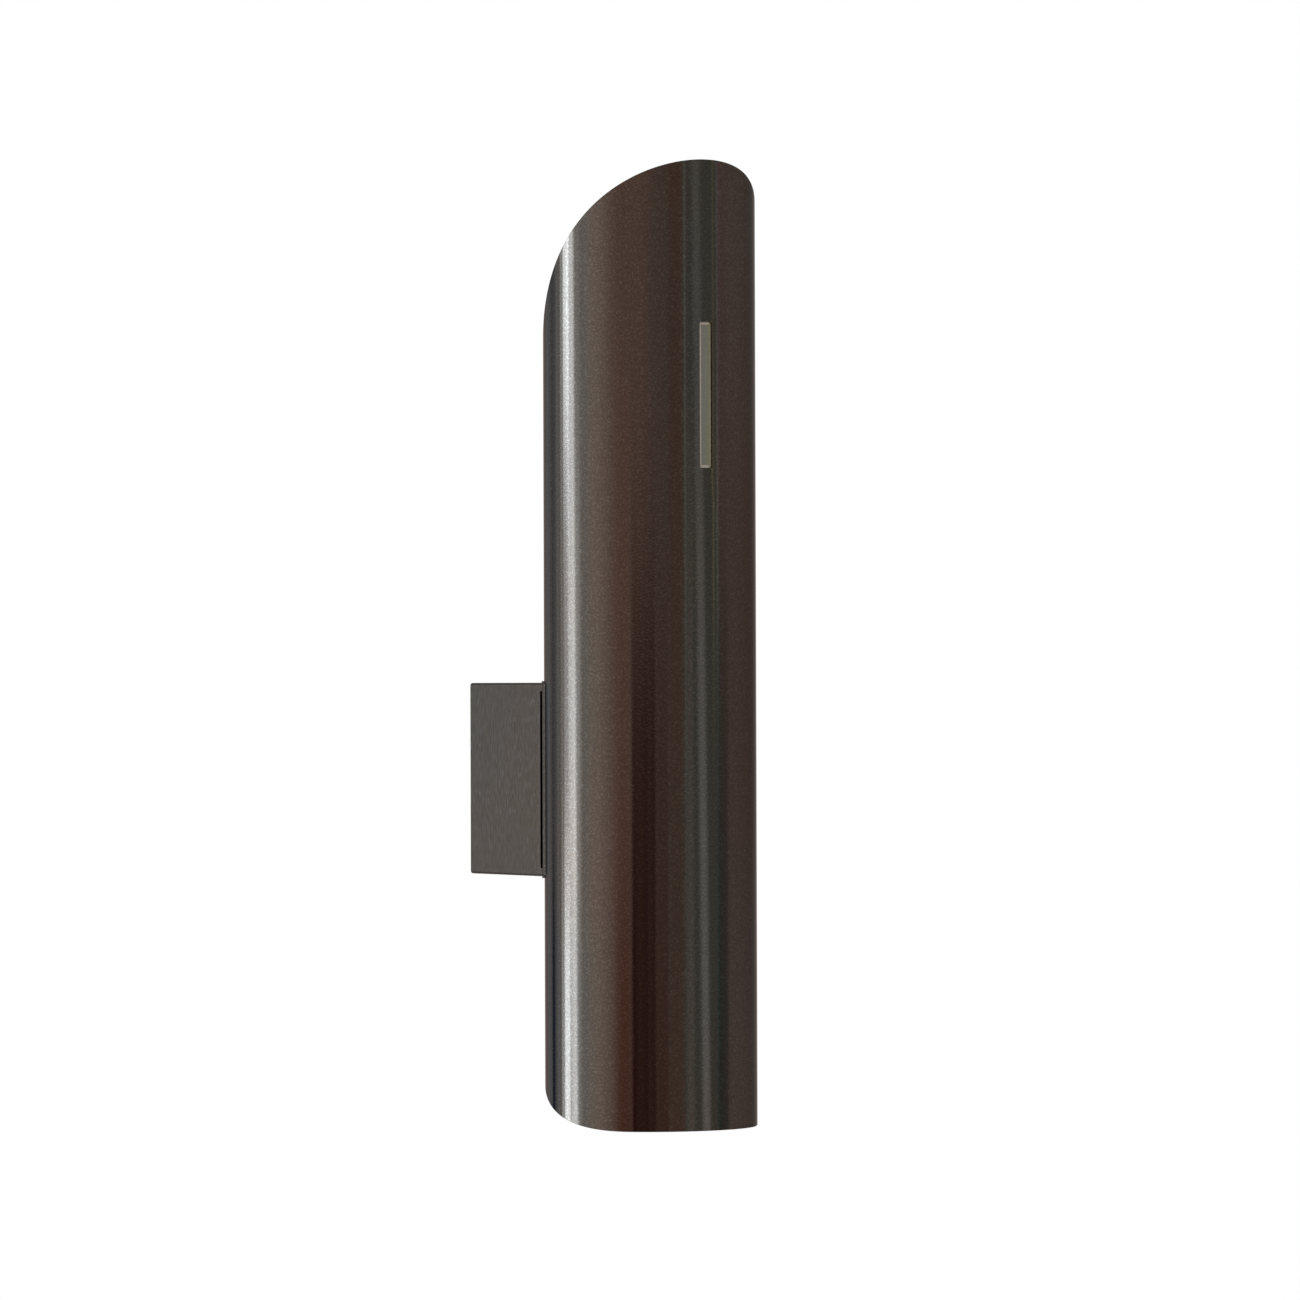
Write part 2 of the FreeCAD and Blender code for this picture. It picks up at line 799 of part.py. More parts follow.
def terminal_sketch(body, away, radius, rows):
    """A sketch of one circle for each pole and row."""
    sketch = new_sketch(body, "XZ", away)
    for pole in terminal_poles:
        for up in rows:
            add_circle(sketch, pole, up, radius)
    return sketch


screw_row = terminal_length / 2 - s.terminal_screw_margin
terminal_rows = (screw_row, -screw_row)
terminal_poles = (-s.terminal_pitch / 2, s.terminal_pitch / 2)


def terminal_bar_sketch(body, side):
    """Plan view of a square for each pole, about the middle of its brass bar."""
    sketch = new_sketch(body, "XY")
    half = side / 2
    for pole in terminal_poles:
        add_rectangle(sketch, pole - half, -terminal_bar_reach - half, pole + half, half - terminal_bar_reach)
    return sketch


def make_terminal_block():
    """Two poles side by side: a square channel through each for the brass, and two screw wells over it."""
    body = new_body("terminal_block")
    place(body, z=terminal_rise)
    half_width = s.terminal_pitch
    half_length = terminal_length / 2
    foot = new_sketch(body, "XZ", s.plate_sheet)
    add_rectangle(foot, -half_width, -half_length, half_width, half_length)
    add_pad(body, foot, s.terminal_reach - s.terminal_step)
    towers = new_sketch(body, "XZ", s.plate_sheet)
    tower_half = s.terminal_tower / 2
    for pole in terminal_poles:
        add_rectangle(towers, pole - tower_half, -half_length + s.fit_gap, pole + tower_half,
                      half_length - s.fit_gap)
    add_pad(body, towers, s.terminal_reach)
    add_pocket(body, terminal_bar_sketch(body, s.terminal_bar + 2 * s.fit_gap), both_ways=True)
    wells = terminal_sketch(body, terminal_bar_reach, s.terminal_screw_radius + s.hole_gap, terminal_rows)
    add_pocket(body, wells, reverse=True)
    fixing = new_sketch(body, "XZ")
    add_circle(fixing, 0, 0, s.terminal_fixing_radius + s.fit_gap)
    add_pocket(body, fixing, both_ways=True)
    head = new_sketch(body, "XZ", terminal_bar_reach)
    add_circle(head, 0, 0, s.terminal_fixing_head + s.fit_gap)
    add_pocket(body, head, reverse=True)
    return body


def make_terminal_inserts():
    """Two brass bars, each bored for its wires and drilled for two screws."""
    body = new_body("terminal_inserts")
    place(body, z=terminal_rise)
    bars = terminal_bar_sketch(body, s.terminal_bar)
    for pole in terminal_poles:
        add_circle(bars, pole, -terminal_bar_reach, s.terminal_wire)
    add_pad(body, bars, terminal_length - 2 * s.terminal_bar_margin, both_ways=True)
    holes = terminal_sketch(body, terminal_bar_reach, s.terminal_screw_radius + s.fit_gap, terminal_rows)
    add_pocket(body, holes, reverse=True)
    return body


def make_terminal_screws():
    """Four clamping screws in the wells, their tips inside the brass."""
    body = new_body("terminal_screws")
    place(body, z=terminal_rise)
    shanks = terminal_sketch(body, terminal_bar_reach + s.running_gap, s.terminal_screw_radius, terminal_rows)
    add_pad(body, shanks, s.terminal_screw_length)
    return body


def headed_screws(label, plane, seats, seat, head, shank, to_wall=False):
    """Screws with a flat round head, or one. Seats are their middles, seat is where the heads bear, and head
    and shank are (radius, length) pairs. The shanks run along the plane's normal, or against it in
    screws that are driven to the wall."""
    head_radius, head_height = head
    shank_radius, shank_length = shank
    body = new_body(label)
    heads = new_sketch(body, plane, seat)
    shanks = new_sketch(body, plane, seat)
    for across, up in seats:
        add_circle(heads, across, up, head_radius)
        add_circle(shanks, across, up, shank_radius)
    add_pad(body, heads, head_height, reverse=not to_wall)
    add_pad(body, shanks, shank_length, reverse=to_wall)
    return body


def make_terminal_fixing_screws():
    """The screw between the poles that holds the block on the plate."""
    return headed_screws(
        "terminal_fixing_screws", "XZ", [(0, terminal_rise)], terminal_bar_reach,
        (s.terminal_fixing_head, s.terminal_fixing_head_height),
        (s.terminal_fixing_radius, terminal_bar_reach - s.hole_gap), to_wall=True)


def make_earth_screw():
    seat = s.plate_sheet + s.earth_washer
    return headed_screws(
        "earth_screw", "XZ", [(earth_side, terminal_rise)], seat, (s.earth_head_radius, s.earth_head),
        (s.earth_screw_radius, seat - s.hole_gap), to_wall=True)


def washers(label, seats, back, sheet, radius, hole):
    body = new_body(label)
    rings = new_sketch(body, "XZ", back)
    for across, up in seats:
        add_circle(rings, across, up, radius)
        add_circle(rings, across, up, hole)
    add_pad(body, rings, sheet)
    return body


def make_earth_washer():
    return washers("earth_washer", [(earth_side, terminal_rise)], s.plate_sheet, s.earth_washer,
                   s.earth_washer_radius, s.earth_screw_radius + s.hole_gap)


# Clamp stack between box and tube

clamp_seats = [(0, clamp_rise), (0, -clamp_rise)]


def make_clamp_screws():
    return headed_screws(
        "clamp_screws", "XZ", clamp_seats, bridge_back - s.washer_sheet,
        (s.clamp_head_radius, s.clamp_head), (s.clamp_screw_radius, s.clamp_screw_length))


def make_clamp_washers():
    return washers("clamp_washers", clamp_seats, bridge_back - s.washer_sheet, s.washer_sheet,
                   s.washer_radius, clamp_hole)


def make_clamp_block():
    """A bar inside the tube, round behind to fit it and flat in front for the lamp carrier."""
    body = new_body("clamp_block")
    place(body, y=-s.tube_reach)
    half = s.block_width / 2
    fitted = tube_inner - s.fit_gap / 2
    front = tube_inner - s.block_depth
    plan = new_sketch(body, "XY")
    edge = far_side(fitted, half)
    add_outline(plan, [
        (half, front), (half, edge, fitted), (-half, edge), (-half, front),
    ])
    add_pad(body, plan, s.block_height, both_ways=True)
    add_pocket(body, clamp_hole_sketch(body), both_ways=True)
    return body


def make_carrier_nuts():
    """Two weld nuts on the carrier's front."""
    body = new_body("carrier_nuts")
    nuts = new_sketch(body, "XZ", carrier_reach)
    for across, up in clamp_seats:
        add_hexagon(nuts, across, up, s.clamp_nut_flats)
        add_circle(nuts, across, up, s.clamp_screw_radius + s.fit_gap / 2)
    add_pad(body, nuts, s.clamp_nut_height)
    return body


def make_lamp_carrier():
    """A bent C of sheet: the web stands on the clamp block, an arm above and below takes a holder."""
    body = new_body("lamp_carrier")
    side = new_sketch(body, "YZ")
    inner = s.carrier_bend
    outer = s.carrier_bend + s.carrier_sheet
    back = -block_reach
    front = -carrier_reach
    tip = -(s.tube_reach + s.carrier_arm)
    top = upper_arm_rise
    bottom = -lower_arm_drop
    sheet = s.carrier_sheet
    add_outline(side, [
        (back, bottom + outer), (back, top - outer, outer),
        (back - outer, top), (tip, top), (tip, top - sheet),
        (front - inner, top - sheet, -inner), (front, top - sheet - inner),
        (front, bottom + sheet + inner, -inner), (front - inner, bottom + sheet),
        (tip, bottom + sheet), (tip, bottom),
        (back - outer, bottom, outer),
    ])
    add_pad(body, side, s.carrier_width, both_ways=True)
    add_pocket(body, clamp_hole_sketch(body), both_ways=True)
    arms = new_sketch(body, "XY")
    add_circle(arms, 0, -s.tube_reach, s.wire_hole_radius)
    for way in (-1, 1):
        add_circle(arms, 0, -s.tube_reach + way * s.holder_screw_offset, s.holder_screw_radius + s.hole_gap)
    add_pocket(body, arms, both_ways=True)

    def is_arm_corner(edge):
        return runs_along(edge, "z") and near(edge.CenterOfMass.y, tip.value)

    add_edge_finish(body, "Fillet", s.carrier_tongue, is_arm_corner)
    return body


# Lampholders and lamps. Each is drawn about its own axis with +Z towards the lamp's lens.


def stand_on_axis(body, rise, upside_down):
    """Puts a lamp piece on the tube's axis; the lower ones are turned over about the Y axis."""
    if upside_down:
        body.Placement.Rotation = Rotation(Vector(0, 1, 0), 180)
    place(body, y=-s.tube_reach, z=-rise if upside_down else rise)


def add_arc_slot(sketch, ring_radius, half_width, start_turn, sweep):
    """A round-ended slot along a circle about the origin, from one angle on by a sweep."""
    inner = ring_radius - half_width
    outer = ring_radius + half_width
    first = as_size(start_turn)
    last = first + sweep

    def at(radius, angle, ahead=0):
        across = radius * cosine(angle) - ahead * sine(angle)
        up = radius * sine(angle) + ahead * cosine(angle)
        return across, up

    add_outline(sketch, [
        (*at(inner, first), half_width), (*at(ring_radius, first, -half_width), half_width),
        (*at(outer, first), outer), (*at(outer, last), half_width),
        (*at(ring_radius, last, half_width), half_width), (*at(inner, last), -inner),
    ])


def make_holder(label, rise, upside_down):
    """Ceramic holder: a cap with two keyholes over two wells; a lamp pin enters and turns under it."""
    body = new_body(label)
    stand_on_axis(body, rise, upside_down)
    puck = new_sketch(body, "XY", -s.holder_height)
    add_circle(puck, 0, 0, s.holder_radius)
    add_pad(body, puck, s.holder_height)
    wells = new_sketch(body, "XY", -s.holder_cap)
    necks = new_sketch(body, "XY")
    doors = new_sketch(body, "XY")
    door_radius = s.pin_head_radius + s.running_gap
    neck_half = s.pin_neck_radius + s.running_gap
    for turn in (0, 180):
        add_arc_slot(wells, pin_offset, door_radius + s.fit_gap, turn, s.twist_angle)
        add_arc_slot(necks, pin_offset, neck_half, turn, s.twist_angle)
        angle = turn + s.twist_angle
        add_circle(doors, pin_offset * cosine(angle), pin_offset * sine(angle), door_radius)
    add_pocket(body, wells, s.holder_well - s.holder_cap)
    add_pocket(body, necks, s.holder_cap)
    add_pocket(body, doors, s.holder_cap)
    screws = new_sketch(body, "XY", -s.holder_height)
    for way in (-1, 1):
        add_circle(screws, 0, way * s.holder_screw_offset, s.holder_screw_radius + s.fit_gap / 2)
    add_pocket(body, screws, s.holder_screw_length, reverse=True)
    wires = new_sketch(body, "XY", -s.holder_height)
    add_circle(wires, 0, 0, s.wire_hole_radius)
    add_pocket(body, wires, s.holder_height - s.holder_well - s.holder_cap, reverse=True)

    def is_cap_rim(edge):
        circle = edge.Curve.TypeId == "Part::GeomCircle"
        return circle and near(edge.Curve.Radius, s.holder_radius.value) and near(edge.CenterOfMass.z, 0)

    add_edge_finish(body, "Chamfer", s.holder_edge, is_cap_rim)
    return body


def make_holder_screws(label, rise, upside_down):
    seats = [(0, way * s.holder_screw_offset) for way in (-1, 1)]
    body = headed_screws(
        label, "XY", seats, -s.holder_height - s.carrier_sheet,
        (s.holder_screw_head, s.holder_screw_head_height),
        (s.holder_screw_radius, s.holder_screw_length))
    stand_on_axis(body, rise, upside_down)
    return body


def turned_lamp_piece(label, rise, upside_down, outline):
    body = new_body(label)
    stand_on_axis(body, rise, upside_down)
    profile = new_sketch(body, "XZ")
    add_outline(profile, outline)
    add_turning(body, "Revolution", profile, "V_Axis")
    return body


def make_lamp(name, rise, upside_down):
    """A twist-lock reflector lamp: base and pins, finned housing, front ring and lens."""
    rim_start = s.lamp_length - s.lamp_rim
    skirt_start = rim_start - s.lamp_skirt
    neck_end = s.lamp_base_length + s.lamp_neck_length
    outside = s.lamp_radius - s.lamp_step
    flare = (outside - s.lamp_neck_radius) / (skirt_start - neck_end)
    fin_reach = s.lamp_neck_radius + flare * (s.lamp_fin_top - neck_end)
    lens_front = s.lamp_length - s.lens_set_back
    chamfer = s.lamp_base_chamfer
    turned_lamp_piece(f"{name}_lamp_base", rise, upside_down, [
        (0, 0), (s.lamp_base_radius - chamfer, 0), (s.lamp_base_radius, chamfer),
        (s.lamp_base_radius, s.lamp_base_length - chamfer - s.lamp_base_flare),
        (s.lamp_base_flange, s.lamp_base_length - chamfer),
        (s.lamp_base_flange, s.lamp_base_length), (0, s.lamp_base_length),
    ])
    housing = turned_lamp_piece(f"{name}_lamp_housing", rise, upside_down, [
        (0, s.lamp_base_length), (s.lamp_neck_radius, s.lamp_base_length), (s.lamp_neck_radius, neck_end),
        (s.lamp_fin_root, neck_end), (s.lamp_fin_root, s.lamp_fin_top), (fin_reach, s.lamp_fin_top),
        (outside, skirt_start), (outside, rim_start), (0, rim_start),
    ])
    fin = new_sketch(housing, "XZ")
    bedded = s.lamp_fin_root - s.lamp_step
    add_outline(fin, [
        (bedded, neck_end), (s.lamp_neck_radius, neck_end), (fin_reach, s.lamp_fin_top),
        (bedded, s.lamp_fin_top),
    ])
    add_ring(housing, [add_pad(housing, fin, s.lamp_fin_sheet, both_ways=True)], s.lamp_fin_count)
    mouth = s.lens_radius + s.fit_gap
    turned_lamp_piece(f"{name}_lamp_ring", rise, upside_down, [
        (mouth, rim_start), (s.lamp_radius, rim_start),
        (s.lamp_radius, s.lamp_length - s.ring_chamfer), (s.lamp_radius - s.ring_chamfer, s.lamp_length),
        (mouth, s.lamp_length),
    ])
    turned_lamp_piece(f"{name}_lamp_lens", rise, upside_down, [
        (0, rim_start), (s.lens_radius, rim_start), (s.lens_radius, lens_front - s.lens_chamfer),
        (s.lens_radius - s.lens_chamfer, lens_front), (0, lens_front),
    ])
    make_lamp_pins(name, rise, upside_down)


def make_lamp_pins(name, rise, upside_down):
    """Two pins, each a neck with a wider head that hooks under the holder's cap."""
    body = new_body(f"{name}_lamp_pins")
    stand_on_axis(body, rise, upside_down)
    neck_length = s.running_gap + s.holder_cap + s.running_gap
    necks = new_sketch(body, "XY")
    heads = new_sketch(body, "XY", -neck_length)
    for side in (-1, 1):
        add_circle(necks, side * pin_offset, 0, s.pin_neck_radius)
        add_circle(heads, side * pin_offset, 0, s.pin_head_radius)
    add_pad(body, necks, neck_length, reverse=True)
    add_pad(body, heads, s.pin_head, reverse=True)
    return body


def make_lamps_and_holders():
    ends = (("upper", upper_base, upper_holder_face, False), ("lower", lower_base, lower_holder_face, True))
    for name, base_rise, face_rise, upside_down in ends:
        make_holder(f"{name}_holder", face_rise, upside_down)
        make_holder_screws(f"{name}_holder_screws", face_rise, upside_down)
        make_lamp(name, base_rise, upside_down)


# Checking and writing


def check_document():
    """Stops on a failed object, a cut that removed nothing, or a sub-part with no sound solid."""
    for item in doc.Objects:
        if any(state in ("Invalid", "Error") for state in item.State):
            raise RuntimeError(f"{item.Label} failed: {item.State}")
        if item.TypeId in ("PartDesign::Pocket", "PartDesign::Groove"):
            before = item.BaseFeature.Shape.Volume
            if item.Shape.Volume > before - 0.01:
                raise RuntimeError(f"{item.Label} cut nothing")
    for part in sub_parts:
        if part.Shape.isNull() or not part.Shape.isValid() or not part.Shape.Solids:
            raise RuntimeError(f"{part.Label} has no sound solid")


def write_parts():
    os.makedirs("parts", exist_ok=True)
    for part in sub_parts:
        part.Shape.exportStep(f"parts/{part.Label}.step")
        print(f"{part.Label}: {len(part.Shape.Solids)} solids, {part.Shape.Volume:.0f} mm3")


make_tube_shell()
make_slot_diffuser()
make_diffuser_retainer()
make_retainer_studs()
make_retainer_nuts()
make_saddle_plate()
make_wall_box()
make_box_bridge()
make_wall_plate()
make_box_screws()
make_entry_grommet()
make_cable_bush()
make_terminal_block()
make_terminal_inserts()
make_terminal_screws()
make_terminal_fixing_screws()
make_earth_screw()
make_earth_washer()
make_clamp_screws()
make_clamp_washers()
make_clamp_block()
make_carrier_nuts()
make_lamp_carrier()
make_lamps_and_holders()
doc.recompute()
check_document()
write_parts()
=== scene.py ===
import json
import math

import bmesh
import bpy
from mathutils import Matrix, Vector


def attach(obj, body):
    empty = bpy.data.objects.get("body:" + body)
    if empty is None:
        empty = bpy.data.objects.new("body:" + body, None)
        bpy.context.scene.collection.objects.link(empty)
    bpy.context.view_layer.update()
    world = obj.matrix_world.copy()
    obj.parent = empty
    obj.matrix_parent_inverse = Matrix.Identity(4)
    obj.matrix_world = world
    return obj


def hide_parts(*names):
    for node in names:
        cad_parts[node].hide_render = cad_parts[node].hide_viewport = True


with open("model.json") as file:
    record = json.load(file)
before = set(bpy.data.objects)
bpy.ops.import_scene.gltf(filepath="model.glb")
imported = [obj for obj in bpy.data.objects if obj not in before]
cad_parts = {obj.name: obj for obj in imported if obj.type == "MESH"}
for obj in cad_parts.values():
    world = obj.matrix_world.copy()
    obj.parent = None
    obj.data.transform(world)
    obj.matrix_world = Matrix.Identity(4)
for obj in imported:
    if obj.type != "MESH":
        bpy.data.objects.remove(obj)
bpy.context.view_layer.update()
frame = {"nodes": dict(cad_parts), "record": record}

nodes = frame["nodes"]
slotOf = {row["node"]: row["material_slot"] for row in frame["record"]["subparts"]}
mm = 0.001                                     # sizes below are written in millimetres
samePoint = 0.000002                           # points closer than this, in metres, are one
flatAngle = 0.4                                # faces that meet by fewer degrees are one flat


# Sockets that can be written as sums, for shader and geometry trees alike

class Wire:
    def __init__(self, tree, socket=None):
        self.tree = tree
        self.socket = socket

    def node(self, kind, settings=None, values=None, out=0):
        made = self.tree.nodes.new(kind)
        for name, value in (settings or {}).items():
            setattr(made, name, value)
        for name, value in (values or {}).items():
            if isinstance(value, Wire):
                self.tree.links.new(value.socket, made.inputs[name])
            else:
                made.inputs[name].default_value = value
        return Wire(self.tree, made.outputs[out])

    def math(self, operation, first, second=None, third=None):
        given = {0: first, 1: second, 2: third}
        return self.node("ShaderNodeMath", {"operation": operation},
                         {spot: value for spot, value in given.items() if value is not None})

    def __add__(self, other):
        return self.math("ADD", self, other)

    def __radd__(self, other):
        return self.math("ADD", other, self)

    def __sub__(self, other):
        return self.math("SUBTRACT", self, other)

    def __rsub__(self, other):
        return self.math("SUBTRACT", other, self)

    def __mul__(self, other):
        return self.math("MULTIPLY", self, other)

    def __rmul__(self, other):
        return self.math("MULTIPLY", other, self)

    def __truediv__(self, other):
        return self.math("DIVIDE", self, other)

    def __rtruediv__(self, other):
        return self.math("DIVIDE", other, self)

    def __neg__(self):
        return self.math("MULTIPLY", self, -1.0)

    def beside(self, out):                     # another output of the same node
        return Wire(self.tree, self.socket.node.outputs[out])

    def step(self, low, high):                 # 0 below low, 1 above high, smooth between
        return self.node("ShaderNodeMapRange", {"interpolation_type": "SMOOTHSTEP"},
                         {"Value": self, "From Min": low, "From Max": high})

    def mixed(self, first, second):            # two colours, by this factor
        return self.node("ShaderNodeMix", {"data_type": "RGBA"}, {0: self, 6: first, 7: second}, 2)


def parts(vector):
    split = vector.node("ShaderNodeSeparateXYZ", values={0: vector})
    return [split.beside(index) for index in range(3)]


def stretched(vector, scale):                  # a pattern's coordinates, scaled each way
    return vector.node("ShaderNodeVectorMath", {"operation": "MULTIPLY"}, {0: vector, 1: scale})


def colour(red, green, blue):
    return (red, green, blue, 1.0)


def scaled(numbers, factor):
    return tuple(number * factor for number in numbers)


# Sizes of the tube, in millimetres and degrees; the slot strip shares them

tube = {
    "radius": 44.45, "wall": 2.0, "reach": 80.0, "rise": 257.0, "drop": 145.0,
    "cutAngle": 33.2, "cutRadius": 209.0, "cutDepth": 68.0, "flatDepth": 11.5, "sweepRadius": 101.3,
    "slotWidth": 6.0, "slotHeight": 60.6, "slotRise": 129.2, "slotCorner": 0.8,
    # the mesh's columns and rows, the window in it that holds the slot, and its edges' rounding
    "columns": 240, "rows": 62, "windowColumns": 4, "windowRows": (40, 52), "edge": 0.12,
    "cornerSteps": 2, "cornerStep": 22.5,      # half a corner of the slot, up to its middle
}


# Finishes

def startFinish(name, sockets):
    material = bpy.data.materials.new(name)
    material.use_nodes = True
    tree = material.node_tree
    shader = tree.nodes["Principled BSDF"]
    for socket, value in sockets.items():
        shader.inputs[socket].default_value = value
    here = Wire(tree).node("ShaderNodeTexCoord", out="Object")
    return material, shader, here


def feed(shader, socket, wire):
    wire.tree.links.new(wire.socket, shader.inputs[socket])


def feedBump(shader, height, depth):           # depth is the height of a full step, in metres
    bump = height.node("ShaderNodeBump", values={"Strength": 1.0, "Distance": depth, "Height": height},
                       out="Normal")
    feed(shader, "Normal", bump)


def grain(here, scale, detail, rough=0.5):
    return here.node("ShaderNodeTexNoise", values={
        "Vector": stretched(here, scale), "Scale": 1.0, "Detail": detail, "Roughness": rough})


# Scales of patterns are per metre along X, Y and Z, and depths are in metres

brushedLook = {
    "tone": (0.108, 0.088, 0.077),             # bronze grey as it shows under plain light
    "warm": (0.118, 0.086, 0.070),
    # dark is the hairlines' own tone and the pits' painted shade; light is the pits' painted highlight
    "dark": (0.070, 0.058, 0.052),
    "light": (0.160, 0.143, 0.132),
    "cloud": (9.0, 9.0, 6.0),
    "coarse": 0.25,                            # the wide hairlines' scale, as a share of the fine ones'
    "hairShade": 0.30,                         # how much the hairlines darken, and how much painted shade darkens the pits
    "pitShade": 0.40,
    "pitShine": 0.7,                           # and how much painted highlights lighten the pits' lit sides
    "hairDepth": 0.0000008,
    "pitDepth": 0.000009,
    "edgeTint": (0.5, 0.5, 0.5),               # a coated edge stays dark
}


def brushedFinish(name, lines, pits, roughness, anisotropy):
    look = brushedLook
    material, shader, here = startFinish(name, {
        "Metallic": 1.0, "Roughness": roughness, "Anisotropic": anisotropy,
        "Anisotropic Rotation": 0.25, "Specular Tint": colour(*look["edgeTint"])})
    fine = grain(here, lines, 3.0, 0.65)
    coarse = grain(here, scaled(lines, look["coarse"]), 3.0, 0.6)
    cloud = grain(here, look["cloud"], 2.0)
    pit = grain(here, pits, 2.0, 0.55)
    tone = cloud.step(0.35, 0.68).mixed(colour(*look["tone"]), colour(*look["warm"]))
    hair = (fine * 0.65 + coarse * 0.35).step(0.36, 0.62)
    tone = (hair * look["hairShade"]).mixed(tone, colour(*look["dark"]))
    # painted shade in the low pits and painted highlights on their raised sides, over the same pits as the
    # bump
    tone = ((1.0 - pit.step(0.34, 0.48)) * look["pitShade"]).mixed(tone, colour(*look["dark"]))
    tone = (pit.step(0.50, 0.70) * look["pitShine"]).mixed(tone, colour(*look["light"]))
    feed(shader, "Base Color", tone)
    feed(shader, "Roughness", roughness - 0.02 + hair * 0.02 + pit * 0.02)
    feedBump(shader, fine * look["hairDepth"] + coarse * (look["hairDepth"] * 3.0)
             + pit * look["pitDepth"], 1.0)    # this height is in metres already
    return material


sheetLook = {
    "rolling": (1500.0, 1500.0, 45.0),         # rolling lines along Z
    "rollDepth": 0.0000025,
    "rubs": (90.0, 60.0, 240.0),
    "spangleShade": 0.78,                      # the darkest spangle and the rubs, as shares of the tone
    "rubShade": 0.6,
}


def sheetFinish(name, tone, roughness, spangle, marks):
    # rolled or plated sheet: faint spangle, rolling lines and a few rub marks
    look = sheetLook
    material, shader, here = startFinish(name, {
        "Metallic": 1.0, "Roughness": roughness})
    cells = here.node("ShaderNodeTexVoronoi", {"feature": "F1"},
                      {"Vector": stretched(here, (spangle, spangle, spangle)), "Scale": 1.0}, "Color")
    shade = here.node("ShaderNodeSeparateColor", values={0: cells})
    rolled = grain(here, look["rolling"], 3.0, 0.6)
    rubbed = grain(here, look["rubs"], 4.0, 0.7).step(0.58, 0.72)
    tint = (shade * 0.5 + rolled * 0.5).mixed(
        colour(*tone), colour(*scaled(tone, look["spangleShade"])))
    tint = (rubbed * marks).mixed(tint, colour(*scaled(tone, look["rubShade"])))
    feed(shader, "Base Color", tint)
    feed(shader, "Roughness", roughness + shade * 0.10 + rubbed * 0.12 - 0.05)
    feedBump(shader, rolled, look["rollDepth"])
    return material


mouldedLook = {
    "drift": (38.0, 38.0, 38.0),               # slow changes of colour
    "driftShade": 0.90,
    "sparkShine": (1.16, 0.004, 0.9),          # painted highlight on the texture's lit sides: factor, plus, and at most
    "sparkShare": 0.35,
}


def mouldedFinish(name, tone, roughness, texture, depth, coat=0.0):
    # moulded plastic, rubber or ceramic: fine spark texture with painted highlights on its raised specks,
    # over a slow drift of colour
    look = mouldedLook
    material, shader, here = startFinish(name, {
        "Roughness": roughness, "Coat Weight": coat, "Coat Roughness": 0.12})
    spark = grain(here, (texture, texture, texture), 3.0, 0.6)
    drift = grain(here, look["drift"], 3.0)
    factor, plus, most = look["sparkShine"]
    bright = tuple(min(value * factor + plus, most) for value in tone)
    tint = drift.step(0.3, 0.7).mixed(colour(*tone), colour(*scaled(tone, look["driftShade"])))
    # painted highlights on the spark texture's raised specks
    tint = (spark.step(0.56, 0.7) * look["sparkShare"]).mixed(tint, colour(*bright))
    feed(shader, "Base Color", tint)
    feed(shader, "Roughness", roughness - 0.06 + spark * 0.12)
    feedBump(shader, spark, depth)
    return material


tubeFinish = brushedFinish("brushedTube", (240.0, 240.0, 2800.0), (1150.0, 1150.0, 1300.0), 0.085, 0.2)
saddleFinish = brushedFinish("brushedSaddle", (240.0, 240.0, 2700.0), (1150.0, 1150.0, 1300.0), 0.09, 0.2)
boxFinish = brushedFinish("brushedBox", (2400.0, 2400.0, 60.0), (2300.0, 2300.0, 260.0), 0.13, 0.0)
steelFinish = sheetFinish("coldRolledSteel", (0.44, 0.44, 0.45), 0.38, 160.0, 0.5)
zincFinish = sheetFinish("zincedSheet", (0.55, 0.56, 0.58), 0.34, 95.0, 0.4)
screwFinish = sheetFinish("zincedScrew", (0.62, 0.62, 0.62), 0.28, 900.0, 0.5)
darkScrewFinish = sheetFinish("blackedScrew", (0.09, 0.085, 0.08), 0.36, 900.0, 0.3)
brassFinish = sheetFinish("turnedBrass", (0.72, 0.52, 0.22), 0.26, 700.0, 0.4)
aluminiumFinish = sheetFinish("drawnAluminium", (0.70, 0.70, 0.71), 0.36, 300.0, 0.3)
rubberFinish = mouldedFinish("blackRubber", (0.022, 0.022, 0.023), 0.72, 1500.0, 0.00002)
nylonFinish = mouldedFinish("blackNylon", (0.032, 0.032, 0.034), 0.45, 1100.0, 0.00001)
terminalFinish = mouldedFinish("terminalPlastic", (0.78, 0.77, 0.72), 0.48, 1300.0, 0.00001)
ceramicFinish = mouldedFinish("steatite", (0.82, 0.81, 0.77), 0.55, 1800.0, 0.00002)
lampPlasticFinish = mouldedFinish("lampPlastic", (0.80, 0.80, 0.78), 0.34, 900.0, 0.000006, 0.15)
lampMetalFinish = mouldedFinish("lampEnamel", (0.76, 0.76, 0.75), 0.42, 650.0, 0.00003)


frostDepth = 0.00001                           # of the strip and of the lenses

strip = {
    "sideHighlight": (0.0017, 0.0022),            # where the painted highlight along the sides starts and is full, in metres
    "endHighlight": (0.0288, 0.0294),
    "oliveHighlight": (0.0016, 0.0020),           # towards the right the painted edge highlight dims to olive, and the middle turns olive
    "oliveCore": (-0.0010, 0.0016),
    "core": ((0.128, 0.117, 0.099), (0.136, 0.130, 0.088)),
    "edgeHighlight": ((0.34, 0.29, 0.235), (0.21, 0.19, 0.11)),
    "frost": (1400.0, 1400.0, 1400.0),
    "smear": (700.0, 60.0, 40.0),
    "smeared": (0.105, 0.094, 0.076),
    "edge": 0.3,                               # how far its edges are rounded, in millimetres
}


